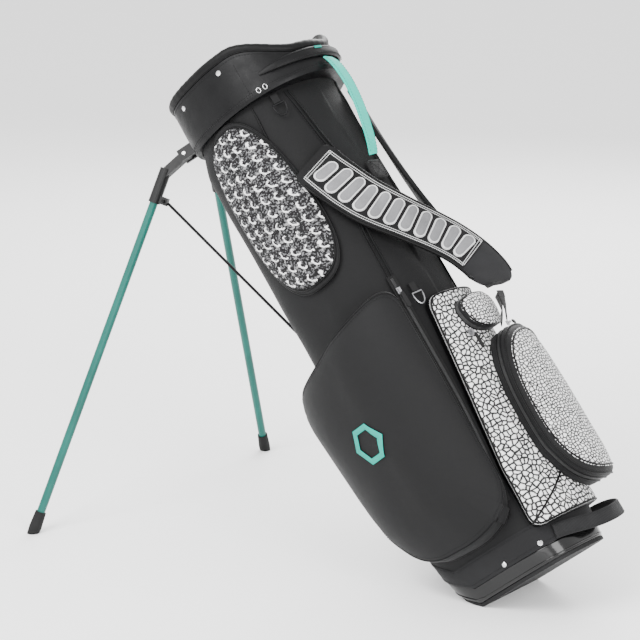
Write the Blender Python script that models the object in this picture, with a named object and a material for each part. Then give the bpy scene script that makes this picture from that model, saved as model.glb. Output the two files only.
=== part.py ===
"""Golf stand bag: a soft bag on a moulded base, with fold-out legs worked by a foot lever.

Metres, +Z up.  The bag stands on its base facet and its two feet, leaning towards -X.
The origin is the middle of the flat rest under the base.  Everything that belongs to the
bag is built in the bag's own frame (x: strap side, z: up the bag's axis) and hangs from
one empty that leans it.
"""

import math

import bmesh
import bpy
from mathutils import Matrix, Vector

# ------------------------------------------------------------------ driving dimensions
LEAN = math.radians(39.0)          # bag axis from the vertical when it stands on its legs
BODY_TOP = 0.840                   # top edge of the fabric body, along the axis
COLLAR_LOW = 0.811                 # lower edge of the collar
COLLAR_HIGH = 0.897                # rim height at the sides and leg side
COLLAR_DIP = 0.858                 # rim height at the strap side, over the grip
AXIS_LIFT = 0.0381                 # height of the bottom centre over the ground
REST_LENGTH = 0.044                # flat rest of the base, in front of the foot lever

BODY_WALL = 0.0025                 # fabric with its foam
COLLAR_SKIN = 0.0035               # outer cuff
FRAME_WALL = 0.0045                # moulded top frame
TRAY_WALL = 0.0035
SOLE_THICK = 0.005                 # rubber sole under the tray
TRAY_HEIGHT = 0.028                # visible height of the tray
TRAY_LIP = 0.022                   # part of the tray hidden inside the fabric
TRAY_PLAY = 0.0017                 # between the hidden part and the fabric

GAP = 0.0004                       # between pieces that touch
SEAT = 0.0016                      # under soft pieces that lie on the curved wall
CLEAR = 0.0006                     # running clearance in hinges and bores

LEG_RADIUS = 0.0068
LEG_WALL = 0.0009
FOOT_REACH = 0.716                 # feet from the origin, towards -X
FOOT_SPREAD = 0.565                # between the two feet
FOOT_LENGTH = 0.036
FOOT_TOP_RADIUS = 0.0088
FOOT_LOW_RADIUS = 0.0102
HINGE_X = -0.165                   # leg hinge, in the bag's frame
HINGE_Y = 0.035
HINGE_Z = 0.854
FOLD_INWARD = math.radians(3.4)    # folded legs lean in towards the body
PIN_RADIUS = 0.003
BARREL_RADIUS = 0.0085
BARREL_LENGTH = 0.014
EAR_THICK = 0.005
EAR_HALF = 0.0095
ELBOW_ALONG = 0.044                # elbow of the knuckle from the hinge, along the leg
ELBOW_OUT = 0.023                  # and outwards
SOCKET_RADIUS = 0.0096
SOCKET_LENGTH = 0.048
SOCKET_SOLID = 0.014               # closed end of the socket
BRACKET_DEPTH = 0.010
BRACKET_HALF_WIDTH = 0.058
BRACKET_HALF_HEIGHT = 0.016

WIRE_RADIUS = 0.0025               # push rods of the legs
WIRE_END_GAP = 0.014               # open pivot: rod end short of its slider
WIRE_EYE_ALONG = 0.040             # rod pivot on the knuckle, from the elbow
LUG_HALF = 0.0042                  # half thickness of the lug that carries the rod
WIRE_EYE_OUT = 0.0165              # rod pivot from the tube's axis, towards the bag
SLIDER_Z = 0.375
SLIDER_HALF = 0.014
ACTUATOR_X = -0.1215
ACTUATOR_RADIUS = 0.0025
GUIDE_HEIGHTS = (0.150, 0.270)
LEVER_THICK = 0.004
LEVER_HALF_WIDTH = 0.020
LEVER_TIP = -0.070                 # world X of the lever's outer end
LEVER_RECESS = 0.0062

SIDES = 64                         # points round the bag's wall
FRONT = 0.0                        # strap side, as an angle round the wall

# wall sections up the axis: z, half depth strap side, half depth leg side, half width, and
# the fullness (power) of the outline on the strap side and on the leg side
BODY_STATIONS = (
    (0.000, 0.112, 0.100, 0.074, 3.2, 4.5),
    (0.060, 0.112, 0.105, 0.099, 2.6, 4.2),
    (0.150, 0.107, 0.113, 0.117, 2.0, 4.0),
    (0.770, 0.106, 0.114, 0.118, 2.0, 4.0),
    (0.806, 0.105, 0.109, 0.114, 2.0, 3.0),
    (0.860, 0.104, 0.108, 0.113, 2.0, 3.0),
)
COLLAR_SECTION = (0.132, 0.117, 0.123, 2.0, 3.0)


# ------------------------------------------------------------------ frames
REST_EDGE = AXIS_LIFT / math.tan(LEAN)
BAG_ORIGIN = Vector((REST_LENGTH / 2 + REST_EDGE, 0.0, AXIS_LIFT))
BAG_MATRIX = Matrix.Translation(BAG_ORIGIN) @ Matrix.Rotation(-LEAN, 4, 'Y')
TO_BAG = BAG_MATRIX.inverted()
BAG_FRAME = 'bag_frame'


def clear_scene():
    for item in list(bpy.data.objects):
        bpy.data.objects.remove(item, do_unlink=True)


def bag_frame():
    """The empty that leans the whole bag."""
    item = bpy.data.objects.new(BAG_FRAME, None)
    bpy.context.scene.collection.objects.link(item)
    item.matrix_world = BAG_MATRIX
    bpy.context.view_layer.update()


# ------------------------------------------------------------------ materials
FINISHES = {
    'body_fabric': ((0.016, 0.016, 0.017), 0.75, 0.0),
    'collar_leather': ((0.017, 0.017, 0.018), 0.48, 0.0),
    'pebble_fabric': ((0.60, 0.60, 0.60), 0.7, 0.0),
    'link_fabric': ((0.40, 0.40, 0.40), 0.8, 0.0),
    'strap_fabric': ((0.020, 0.020, 0.021), 0.8, 0.0),
    'webbing_black': ((0.012, 0.012, 0.012), 0.7, 0.0),
    'webbing_teal': ((0.12, 0.68, 0.60), 0.6, 0.0),
    'leg_teal': ((0.014, 0.27, 0.23), 0.32, 0.6),
    'moulded_plastic': ((0.014, 0.014, 0.015), 0.25, 0.0),
    'frame_plastic': ((0.022, 0.022, 0.023), 0.5, 0.0),
    'rubber': ((0.012, 0.012, 0.012), 0.8, 0.0),
    'black_wire': ((0.015, 0.015, 0.016), 0.35, 0.8),
    'polished_steel': ((0.72, 0.72, 0.72), 0.18, 1.0),
    'lining': ((0.05, 0.05, 0.052), 0.85, 0.0),
}


def material(name):
    found = bpy.data.materials.get(name)
    if found:
        return found
    colour, roughness, metallic = FINISHES[name]
    found = bpy.data.materials.new(name)
    found.use_nodes = True
    shader = found.node_tree.nodes['Principled BSDF']
    shader.inputs['Base Color'].default_value = (*colour, 1.0)
    shader.inputs['Roughness'].default_value = roughness
    shader.inputs['Metallic'].default_value = metallic
    return found


# ------------------------------------------------------------------ mesh helpers
def make(name, points, faces, finish, pivot=Vector(), sharp=38.0):
    """One closed solid from points in the bag's frame; its origin is the pivot."""
    mesh = bpy.data.meshes.new(name)
    mesh.from_pydata([tuple(p - pivot) for p in points], [], faces)
    shape = bmesh.new()
    shape.from_mesh(mesh)
    bmesh.ops.recalc_face_normals(shape, faces=shape.faces)
    shape.to_mesh(mesh)
    shape.free()
    mesh.materials.append(material(finish))
    mesh.shade_smooth()
    mesh.set_sharp_from_angle(angle=math.radians(sharp))
    item = bpy.data.objects.new(name, mesh)
    bpy.context.scene.collection.objects.link(item)
    item.parent = bpy.data.objects[BAG_FRAME]
    item.location = pivot
    return item


def loft(rings, cyclic=False, start=None, end=None):
    """Faces through rings of equal count; start and end are centre points that close it."""
    count = len(rings[0])
    points = [p for ring in rings for p in ring]
    faces = []
    spans = len(rings) if cyclic else len(rings) - 1
    for i in range(spans):
        low = i * count
        high = ((i + 1) % len(rings)) * count
        for j in range(count):
            k = (j + 1) % count
            faces.append((low + j, low + k, high + k, high + j))
    last = (len(rings) - 1) * count
    if not cyclic:
        for centre, base in ((start, 0), (end, last)):
            if centre is None:
                faces.append(tuple(range(base, base + count)))
            else:
                points.append(centre)
                tip = len(points) - 1
                faces += [(base + j, base + (j + 1) % count, tip) for j in range(count)]
    return points, faces


def evaluated(item):
    """Bakes an object's modifiers into its mesh."""
    bpy.context.view_layer.update()
    graph = bpy.context.evaluated_depsgraph_get()
    mesh = bpy.data.meshes.new_from_object(item.evaluated_get(graph))
    item.modifiers.clear()
    item.data = mesh


def combine(item, other, operation):
    """Boolean of two objects; the second one is used up."""
    modifier = item.modifiers.new(operation.lower(), 'BOOLEAN')
    modifier.operation = operation
    modifier.object = other
    evaluated(item)
    bpy.data.objects.remove(other, do_unlink=True)
    item.data.shade_smooth()
    item.data.set_sharp_from_angle(angle=math.radians(38.0))


def side_vectors(direction):
    """Two unit vectors square to a direction and to each other."""
    helper = Vector((0, 0, 1)) if abs(direction.z) < 0.9 else Vector((1, 0, 0))
    across = direction.cross(helper).normalized()
    return across, direction.cross(across).normalized()


def circle(centre, direction, radius, count=16):
    across, other = side_vectors(direction)
    step = 2 * math.pi / count
    return [centre + radius * (math.cos(i * step) * across + math.sin(i * step) * other)
            for i in range(count)]


def cylinder(start, end, radius, count=16):
    direction = (end - start).normalized()
    return loft([circle(start, direction, radius, count), circle(end, direction, radius, count)])


def box(centre, axes, halves):
    """Box with its own axes, as points and faces."""
    points = []
    for i in (-1, 1):
        for j in (-1, 1):
            for k in (-1, 1):
                points.append(centre + i * halves[0] * axes[0] + j * halves[1] * axes[1]
                              + k * halves[2] * axes[2])
    faces = [(0, 1, 3, 2), (4, 6, 7, 5), (0, 4, 5, 1), (2, 3, 7, 6), (0, 2, 6, 4), (1, 5, 7, 3)]
    return points, faces


def bent_rod(points, radius, count=8):
    """Round bar through points, mitred at its corners."""
    rings = []
    tangents = [(b - a).normalized() for a, b in zip(points, points[1:])]
    across = side_vectors(tangents[0])[0]
    for i, point in enumerate(points):
        before = tangents[max(i - 1, 0)]
        after = tangents[min(i, len(tangents) - 1)]
        direction = (before + after).normalized()
        across = (across - across.dot(direction) * direction).normalized()
        other = direction.cross(across)
        stretch = 1 / max(before.dot(direction), 0.5)
        turn = after - before
        ring = []
        for j in range(count):
            angle = 2 * math.pi * j / count
            offset = radius * (math.cos(angle) * across + math.sin(angle) * other)
            if turn.length > 1e-6:
                axis = (turn - turn.dot(direction) * direction).normalized()
                offset += (stretch - 1) * offset.dot(axis) * axis
            ring.append(point + offset)
        rings.append(ring)
    return loft(rings)


def smooth(points, steps):
    """Points on a smooth curve through the given ones (Catmull-Rom)."""
    result = []
    last = len(points) - 1
    for i in range(last):
        p0 = points[max(i - 1, 0)]
        p1 = points[i]
        p2 = points[i + 1]
        p3 = points[min(i + 2, last)]
        for k in range(steps):
            t = k / steps
            result.append(0.5 * (2 * p1 + (p2 - p0) * t + (2 * p0 - 5 * p1 + 4 * p2 - p3) * t * t
                                 + (3 * p1 - p0 - 3 * p2 + p3) * t ** 3))
    result.append(points[last])
    return result


def ribbon(centres, sides, widths, thickness, edge=0.25):
    """Flat strap: its width runs along the side vectors, its edges are rounded off."""
    rings = []
    for i, (centre, side, width) in enumerate(zip(centres, sides, widths)):
        ahead = centres[min(i + 1, len(centres) - 1)] - centres[max(i - 1, 0)]
        side = (side - side.dot(ahead.normalized()) * ahead.normalized()).normalized()
        normal = ahead.normalized().cross(side).normalized()
        half = width / 2
        thin = thickness / 2
        profile = ((half, -thin * edge), (half, thin * edge), (half - thin, thin),
                   (-half + thin, thin), (-half, thin * edge), (-half, -thin * edge),
                   (-half + thin, -thin), (half - thin, -thin))
        rings.append([centre + a * side + b * normal for a, b in profile])
    return loft(rings)


# ------------------------------------------------------------------ the bag's wall
def blend(low, high, t):
    return low + (high - low) * t


def wall_sizes(z):
    """Half depths, half width and power of the body's section at height z."""
    stations = BODY_STATIONS
    z = min(max(z, stations[0][0]), stations[-1][0])
    for low, high in zip(stations, stations[1:]):
        if z <= high[0]:
            t = (z - low[0]) / (high[0] - low[0])
            return [blend(a, b, t) for a, b in zip(low[1:], high[1:])]
    return list(stations[-1][1:])


def section_half(x, sizes):
    """Depth and power that hold on the side of the section where x lies."""
    front, back, width, front_power, back_power = sizes
    return (front, front_power) if x >= 0 else (back, back_power)


def half_width_at(x, sizes):
    depth, p = section_half(x, sizes)
    return sizes[2] * (1 - (abs(x) / depth) ** p) ** (1 / p)


def section_point(angle, sizes, out=0.0):
    """Point of a section: a rounder curve on the strap side, a fuller one on the leg side."""
    width = sizes[2]

    def at(a):
        c, s = math.cos(a), math.sin(a)
        depth, p = section_half(c, sizes)
        radius = (abs(c / depth) ** p + abs(s / width) ** p) ** (-1 / p)
        return Vector((radius * c, radius * s, 0.0))

    here = at(angle)
    along = (at(angle + 0.01) - at(angle - 0.01)).normalized()
    return here + out * Vector((along.y, -along.x, 0.0))


def wall_point(angle, z, out=0.0):
    return section_point(angle, wall_sizes(z), out) + Vector((0, 0, z))


def wall_ring(z, out=0.0, count=SIDES):
    step = 2 * math.pi / count
    return [wall_point(i * step, z, out) for i in range(count)]


def wall_angle(start, distance, z):
    """Angle reached by walking a distance round the wall from a start angle."""
    angle = start
    pieces = 12
    for _ in range(pieces):
        rate = (wall_point(angle + 0.005, z) - wall_point(angle - 0.005, z)).length / 0.01
        angle += distance / pieces / rate
    return angle


def rounded(half_width, half_height, power=4.0, count=32, taper=0.0, lean=0.0):
    """Closed outline round (0, 0): a fuller ellipse, narrower upwards, leaning sideways."""
    points = []
    for i in range(count):
        angle = 2 * math.pi * i / count
        c, s = math.cos(angle), math.sin(angle)
        x = half_width * math.copysign(abs(c) ** (2 / power), c)
        y = half_height * math.copysign(abs(s) ** (2 / power), s)
        x = x * (1 - taper * y / half_height) + lean * y
        points.append((x, y))
    return points


def cornered(corners, radius, count=40):
    """Closed outline round (0, 0) through a polygon's sides, with its corners rounded off."""
    path = []
    total = len(corners)
    for i in range(total):
        before, here, after = (Vector(corners[k % total]) for k in (i - 1, i, i + 1))
        start = here + (before - here).normalized() * radius
        end = here + (after - here).normalized() * radius
        for step in range(9):
            t = step / 8
            path.append((1 - t) ** 2 * start + 2 * t * (1 - t) * here + t * t * end)
    points = []
    lengths = [0.0]
    for a, b in zip(path, path[1:] + path[:1]):
        lengths.append(lengths[-1] + (b - a).length)
    path.append(path[0])
    k = 0
    for i in range(count):
        want = lengths[-1] * i / count
        while lengths[k + 1] < want:
            k += 1
        t = (want - lengths[k]) / (lengths[k + 1] - lengths[k])
        spot = path[k].lerp(path[k + 1], t)
        points.append((spot.x, spot.y))
    return points


def wall_pad(name, finish, angle, z, outline, layers, swell=None, under=6, out=SEAT):
    """Soft piece on the wall: an underside that follows it and layers of (scale, height)."""
    swell = swell or (lambda t: 1.0)

    def place(s, t, height):
        turned = wall_angle(angle, s, z + t)
        return wall_point(turned, z + t, out + swell(t) * height)

    rings = []
    for i in range(under):
        scale = (i + 1) / under
        rings.append([place(s * scale, t * scale, 0.0) for s, t in outline])
    for scale, height in layers[:-1]:
        rings.append([place(s * scale, t * scale, height) for s, t in outline])
    points, faces = loft(rings, start=place(0, 0, 0), end=place(0, 0, layers[-1][1]))
    return make(name, points, faces, finish)


def ground_height(point):
    """World height of a point given in the bag's frame."""
    return (BAG_MATRIX @ point).z


def trim(item, height):
    """Cuts off everything below a world height and closes the cut."""
    shape = bmesh.new()
    shape.from_mesh(item.data)
    up = TO_BAG.to_3x3() @ Vector((0, 0, 1))
    level = TO_BAG @ Vector((0, 0, height)) - item.location
    everything = list(shape.verts) + list(shape.edges) + list(shape.faces)
    cut = bmesh.ops.bisect_plane(shape, geom=everything, plane_co=level, plane_no=up,
                                 clear_inner=True)
    edges = [g for g in cut['geom_cut'] if isinstance(g, bmesh.types.BMEdge)]
    bmesh.ops.contextual_create(shape, geom=edges)
    bmesh.ops.recalc_face_normals(shape, faces=shape.faces)
    shape.to_mesh(item.data)
    shape.free()


# ------------------------------------------------------------------ base
SEAM_LIFT = 0.028                  # world height of the tray's edge over the ground facet


def seam_height(angle):
    """Height of the tray's visible edge; it rises over the ground facet."""
    x = wall_point(angle, 0.05).x
    over_facet = (SEAM_LIFT - AXIS_LIFT - x * math.sin(LEAN)) / math.cos(LEAN)
    return max(TRAY_HEIGHT, over_facet)


def edge_ring(height, out):
    """Ring on the wall whose height changes with the angle."""
    step = 2 * math.pi / SIDES
    return [wall_point(i * step, height(i * step), out) for i in range(SIDES)]


def make_base():
    under = BODY_WALL + TRAY_PLAY
    top = TRAY_LIP
    floor = SOLE_THICK + GAP
    rings = [wall_ring(floor),
             edge_ring(seam_height, 0.0),
             edge_ring(seam_height, -under),
             edge_ring(lambda a: seam_height(a) + top, -under)]
    tray = make('base_tray', *loft(rings), 'moulded_plastic')
    trim(tray, floor)
    inset = -under - TRAY_WALL
    rings = [wall_ring(floor + TRAY_WALL, inset),
             edge_ring(seam_height, inset),
             edge_ring(lambda a: seam_height(a) + top, inset),
             edge_ring(lambda a: seam_height(a) + top + 0.08, inset)]
    cavity = make('cavity', *loft(rings), 'moulded_plastic')
    trim(cavity, floor + TRAY_WALL)
    combine(tray, cavity, 'DIFFERENCE')

    sole = make('base_sole', *loft([wall_ring(0.0), edge_ring(seam_height, 0.0)]), 'rubber')
    trim(sole, 0.0)
    above = make('above', *box(Vector((0, 0, SOLE_THICK + 0.2)),
                               (Vector((1, 0, 0)), Vector((0, 1, 0)), Vector((0, 0, 1))),
                               (0.3, 0.3, 0.2)), 'rubber')
    trim(above, SOLE_THICK)
    combine(sole, above, 'DIFFERENCE')
    return tray, sole


def world_box(name, low, high, finish):
    """Box along the world's axes, as an object in the bag's frame."""
    turn = TO_BAG.to_3x3()
    axes = [turn @ Vector(v) for v in ((1, 0, 0), (0, 1, 0), (0, 0, 1))]
    centre = TO_BAG @ ((Vector(low) + Vector(high)) / 2)
    halves = [(b - a) / 2 for a, b in zip(low, high)]
    return make(name, *box(centre, axes, halves), finish)


LEVER_HINGE = Vector((-REST_LENGTH / 2 - 0.004, 0.0, 0.0032))     # world


def make_lever(tray, sole):
    """Foot lever in a recess of the base; it turns about an axis along Y."""
    half = LEVER_HALF_WIDTH
    recess_low = (LEVER_TIP - 0.05, -half - CLEAR, -0.01)
    recess_high = (-REST_LENGTH / 2, half + CLEAR, LEVER_RECESS)
    for item in (tray, sole):
        combine(item, world_box('recess', recess_low, recess_high, 'rubber'), 'DIFFERENCE')
    turn = TO_BAG.to_3x3()
    across = turn @ Vector((0, 1, 0))
    pivot = TO_BAG @ LEVER_HINGE
    back = LEVER_THICK / 2
    axes = [turn @ Vector(v) for v in ((1, 0, 0), (0, 1, 0), (0, 0, 1))]
    length = (LEVER_HINGE.x - LEVER_TIP) / 2
    centre = pivot - length * axes[0] - (LEVER_HINGE.z - 0.0008 - back) * axes[2]
    lever = make('foot_lever', *box(centre, axes, (length, half, back)), 'frame_plastic', pivot)
    barrel = make('barrel', *cylinder(pivot - half * across, pivot + half * across, 0.0024, 12),
                  'frame_plastic', pivot)
    combine(lever, barrel, 'UNION')
    return lever


# ------------------------------------------------------------------ body and inside
def make_body():
    heights = (0.115, 0.150, 0.460, 0.770, 0.806, BODY_TOP)
    hem = [lambda a: seam_height(a) + GAP, lambda a: seam_height(a) + TRAY_LIP]
    rings = [edge_ring(height, 0.0) for height in hem] + [wall_ring(z) for z in heights]
    rings += [wall_ring(z, -BODY_WALL) for z in reversed(heights)]
    rings += [edge_ring(height, -BODY_WALL) for height in reversed(hem)]
    return make('body_shell', *loft(rings, cyclic=True), 'body_fabric')


DIVIDER_BARS = (0.045, -0.022)     # x of the two bars that run across the bag
SHEET_THICK = 0.0016
STAY_RADIUS = 0.004


def make_inside():
    stays = ((FRONT, 'stay_spine'), (math.radians(112), 'stay_right'),
             (math.radians(-112), 'stay_left'))
    depth = -(BODY_WALL + TRAY_PLAY + TRAY_WALL + STAY_RADIUS + 0.0025)
    for angle, name in stays:
        points = [wall_point(angle, z, depth) for z in (0.020, 0.060, 0.105, 0.150, BODY_TOP - 0.002)]
        make(name, *bent_rod(points, STAY_RADIUS, 10), 'frame_plastic')
    low, high = 0.060, BODY_TOP - 0.004
    reach = BODY_WALL + TRAY_PLAY + TRAY_WALL + 0.005
    thin = SHEET_THICK / 2
    x_axis, y_axis, z_axis = Vector((1, 0, 0)), Vector((0, 1, 0)), Vector((0, 0, 1))

    def sheet(name, x0, x1, y0, y1):
        centre = Vector(((x0 + x1) / 2, (y0 + y1) / 2, (low + high) / 2))
        halves = ((x1 - x0) / 2, (y1 - y0) / 2, (high - low) / 2)
        make(name, *box(centre, (x_axis, y_axis, z_axis), halves), 'lining')

    for x, name in zip(DIVIDER_BARS, ('divider_sheet_front', 'divider_sheet_rear')):
        side = half_width_at(x, wall_sizes(low)) - reach
        sheet(name, x - thin, x + thin, -side, side)
    front, rear = DIVIDER_BARS
    edge = thin + 0.001
    sheet('divider_sheet_middle', rear + edge, front - edge, -thin, thin)
    sheet('divider_sheet_leg_side', -BODY_STATIONS[1][2] + reach, rear - edge, -thin, thin)


# ------------------------------------------------------------------ collar
def rim_height(angle):
    """The rim dips over the grip on the strap side."""
    turned = abs((angle + math.pi) % (2 * math.pi) - math.pi)
    t = min(max((turned - math.radians(12)) / math.radians(48), 0.0), 1.0)
    return blend(COLLAR_DIP, COLLAR_HIGH, t * t * (3 - 2 * t))


def collar_ring(height, out):
    step = 2 * math.pi / SIDES
    ring = []
    for i in range(SIDES):
        point = section_point(i * step, COLLAR_SECTION, out)
        ring.append(point + Vector((0, 0, height(i * step))))
    return ring


ROLL_HALF = 0.0075                 # half height of the padded rim
ROLL_THICK = 0.0055                # half thickness


def make_collar():
    below_roll = ROLL_HALF + GAP
    skin = COLLAR_SKIN
    top = lambda a: rim_height(a) - below_roll
    rings = [collar_ring(lambda a: COLLAR_LOW, -0.0015),
             collar_ring(lambda a: COLLAR_LOW + 0.010, 0.0),
             collar_ring(top, 0.0),
             collar_ring(top, -skin),
             collar_ring(lambda a: COLLAR_LOW + skin, -skin - 0.0005)]
    hem = SEAT
    rings += [wall_ring(COLLAR_LOW + skin, hem), wall_ring(COLLAR_LOW, hem)]
    cover = make('collar_cover', *loft(rings, cyclic=True), 'collar_leather')

    rings = []
    for k in range(6):
        turn = 2 * math.pi * (k + 0.5) / 6
        out = -0.003 + ROLL_THICK * math.cos(turn)
        rise = ROLL_HALF * math.sin(turn)
        rings.append(collar_ring(lambda a, rise=rise: rim_height(a) + rise, out))
    roll = make('rim_roll', *loft(rings, cyclic=True), 'collar_leather', sharp=60)

    low = BODY_TOP + 0.001
    inner = skin + GAP
    rings = [collar_ring(lambda a: low, -inner), collar_ring(top, -inner),
             collar_ring(top, -inner - FRAME_WALL), collar_ring(lambda a: low, -inner - FRAME_WALL)]
    frame = make('top_frame', *loft(rings, cyclic=True), 'frame_plastic')
    bar_low, bar_high = low + 0.0005, COLLAR_DIP - below_roll - 0.0005
    middle, half = (bar_low + bar_high) / 2, (bar_high - bar_low) / 2
    axes = (Vector((1, 0, 0)), Vector((0, 1, 0)), Vector((0, 0, 1)))
    into = inner + FRAME_WALL / 2
    for x in DIVIDER_BARS:
        reach = half_width_at(x, COLLAR_SECTION) - into
        bar = make('bar', *box(Vector((x, 0, middle)), axes, (0.005, reach, half)), 'frame_plastic')
        combine(frame, bar, 'UNION')
    end = -COLLAR_SECTION[1] + into
    start = DIVIDER_BARS[0]
    bar = make('bar', *box(Vector(((start + end) / 2, 0, middle)), axes,
                           ((start - end) / 2, 0.004, half - 0.0006)), 'frame_plastic')
    combine(frame, bar, 'UNION')
    return cover, roll, frame


def make_grip():
    """Moulded grab band over the strap side of the collar."""
    span = math.radians(46)
    count = 21
    low, high = COLLAR_DIP - 0.026, COLLAR_DIP - 0.009
    rings = []
    for i in range(count):
        share = i / (count - 1) * 2 - 1
        angle = span * share
        bulge = 0.0065 * (1 - share ** 4)
        thin = blend(1.0, 0.25, abs(share) ** 3)
        centre = (low + high) / 2
        half = (high - low) / 2 * thin
        ring = []
        for rise, out in ((-1, 0.3), (-1, 0.7), (-0.6, 1), (0.6, 1), (1, 0.7), (1, 0.3)):
            reach = GAP * 2 + (0.0012 + bulge) * (out if out > 0.3 else 0.0)
            point = section_point(angle, COLLAR_SECTION, reach)
            ring.append(point + Vector((0, 0, centre + rise * half)))
        rings.append(ring)
    return make('collar_grip', *loft(rings), 'collar_leather')


# ------------------------------------------------------------------ legs
class Leg:
    """Places of one leg, in the bag's frame; side is -1 for left and 1 for right."""

    def __init__(self, side):
        self.side = side
        self.word = 'left' if side < 0 else 'right'
        self.hinge = Vector((HINGE_X, side * HINGE_Y, HINGE_Z))
        self.foot = TO_BAG @ Vector((-FOOT_REACH, side * FOOT_SPREAD / 2, 0.0))
        reach = self.foot - self.hinge
        self.length = reach.length
        line = reach.normalized()
        flat = Vector((line.x, line.y, 0)).normalized()
        folded = Vector((math.sin(FOLD_INWARD), 0, -math.cos(FOLD_INWARD)))
        self.axis = line.cross(folded).normalized()
        self.fold = line.angle(folded)
        self.outward = (flat - flat.dot(line) * line).normalized()
        self.elbow = self.hinge + ELBOW_ALONG * line + ELBOW_OUT * self.outward
        self.tube = (self.foot - self.elbow).normalized()
        self.inward = -(self.outward - self.outward.dot(self.tube) * self.tube).normalized()
        self.eye = self.elbow + WIRE_EYE_ALONG * self.tube + WIRE_EYE_OUT * self.inward

    def turned(self, point, share=1.0):
        """A point of the leg after it has folded by a share of its whole swing."""
        turn = Matrix.Rotation(self.fold * share, 3, self.axis)
        return self.hinge + turn @ (point - self.hinge)


LEGS = (Leg(-1), Leg(1))


def make_bracket():
    """Plate on the collar with two ears for each leg, bored for the hinge pins."""
    depth = BRACKET_DEPTH / 2
    face = -COLLAR_SECTION[1] - 0.0005 - depth
    axes = (Vector((1, 0, 0)), Vector((0, 1, 0)), Vector((0, 0, 1)))
    centre = Vector((face, 0, HINGE_Z))
    bracket = make('leg_bracket', *box(centre, axes, (depth, BRACKET_HALF_WIDTH, BRACKET_HALF_HEIGHT)),
                   'frame_plastic')
    up = Vector((0, 0, 1))
    for leg in LEGS:
        away = leg.axis.cross(up).normalized()
        away *= -1 if away.x > 0 else 1
        for end in (-1, 1):
            offset = end * (BARREL_LENGTH / 2 + CLEAR + EAR_THICK / 2)
            root = -(abs(leg.hinge.x) - abs(face)) / abs(away.x)
            tip = EAR_HALF
            middle = leg.hinge + offset * leg.axis + (root + tip) / 2 * away
            ear = make('ear', *box(middle, (leg.axis, away, up),
                                   (EAR_THICK / 2, (tip - root) / 2, EAR_HALF)), 'frame_plastic')
            combine(bracket, ear, 'UNION')
        reach = BARREL_LENGTH / 2 + CLEAR + EAR_THICK + 0.002
        bore = make('bore', *cylinder(leg.hinge - reach * leg.axis, leg.hinge + reach * leg.axis,
                                      PIN_RADIUS + GAP), 'frame_plastic')
        combine(bracket, bore, 'DIFFERENCE')
    return bracket


def make_leg(leg):
    axis, hinge = leg.axis, leg.hinge
    reach = BARREL_LENGTH / 2 + CLEAR + EAR_THICK + 0.0012
    pin = cylinder(hinge - reach * axis, hinge + reach * axis, PIN_RADIUS)
    make('hinge_pin_' + leg.word, *pin, 'polished_steel')

    half = BARREL_LENGTH / 2
    knuckle = make('knuckle_' + leg.word,
                   *cylinder(hinge - half * axis, hinge + half * axis, BARREL_RADIUS, 20),
                   'frame_plastic', hinge)
    arm_line = (leg.elbow - hinge).normalized()
    arm_side = arm_line.cross(axis).normalized()
    arm_length = (leg.elbow - hinge).length / 2
    arm = box((hinge + leg.elbow) / 2, (arm_line, arm_side, axis),
              (arm_length, BARREL_RADIUS * 0.86, half * 0.92))
    combine(knuckle, make('arm', *arm, 'frame_plastic', hinge), 'UNION')
    socket_end = leg.elbow + SOCKET_LENGTH * leg.tube
    socket = cylinder(leg.elbow - 0.010 * leg.tube, socket_end, SOCKET_RADIUS, 20)
    combine(knuckle, make('socket', *socket, 'frame_plastic', hinge), 'UNION')
    eye_axis = rod_motion(leg)[0]
    lug_side = eye_axis.cross(leg.tube).normalized()
    lug_side *= -1 if lug_side.dot(leg.inward) < 0 else 1
    lug_centre = leg.eye - 0.002 * lug_side
    lug = box(lug_centre, (eye_axis.cross(lug_side), lug_side, eye_axis),
              (0.0062, 0.0078, LUG_HALF))
    combine(knuckle, make('lug', *lug, 'frame_plastic', hinge), 'UNION')
    tube_start = leg.elbow + SOCKET_SOLID * leg.tube
    bore = cylinder(tube_start, socket_end + 0.01 * leg.tube, LEG_RADIUS + GAP, 20)
    combine(knuckle, make('bore', *bore, 'frame_plastic', hinge), 'DIFFERENCE')
    bore = cylinder(hinge - 0.02 * axis, hinge + 0.02 * axis, PIN_RADIUS + GAP)
    combine(knuckle, make('bore', *bore, 'frame_plastic', hinge), 'DIFFERENCE')
    bore = cylinder(leg.eye - 0.02 * eye_axis, leg.eye + 0.02 * eye_axis, WIRE_RADIUS + GAP, 12)
    combine(knuckle, make('bore', *bore, 'frame_plastic', hinge), 'DIFFERENCE')

    foot_end = (leg.foot - leg.elbow).length - 0.012
    outer = [circle(p, leg.tube, LEG_RADIUS, 20) for p in (tube_start + GAP * leg.tube,
                                                           leg.elbow + foot_end * leg.tube)]
    inner = [circle(p, leg.tube, LEG_RADIUS - LEG_WALL, 20)
             for p in (leg.elbow + foot_end * leg.tube, tube_start + GAP * leg.tube)]
    make('leg_tube_' + leg.word, *loft(outer + inner, cyclic=True), 'leg_teal', hinge)
    make_foot(leg, leg.elbow + (foot_end + GAP) * leg.tube)


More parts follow.
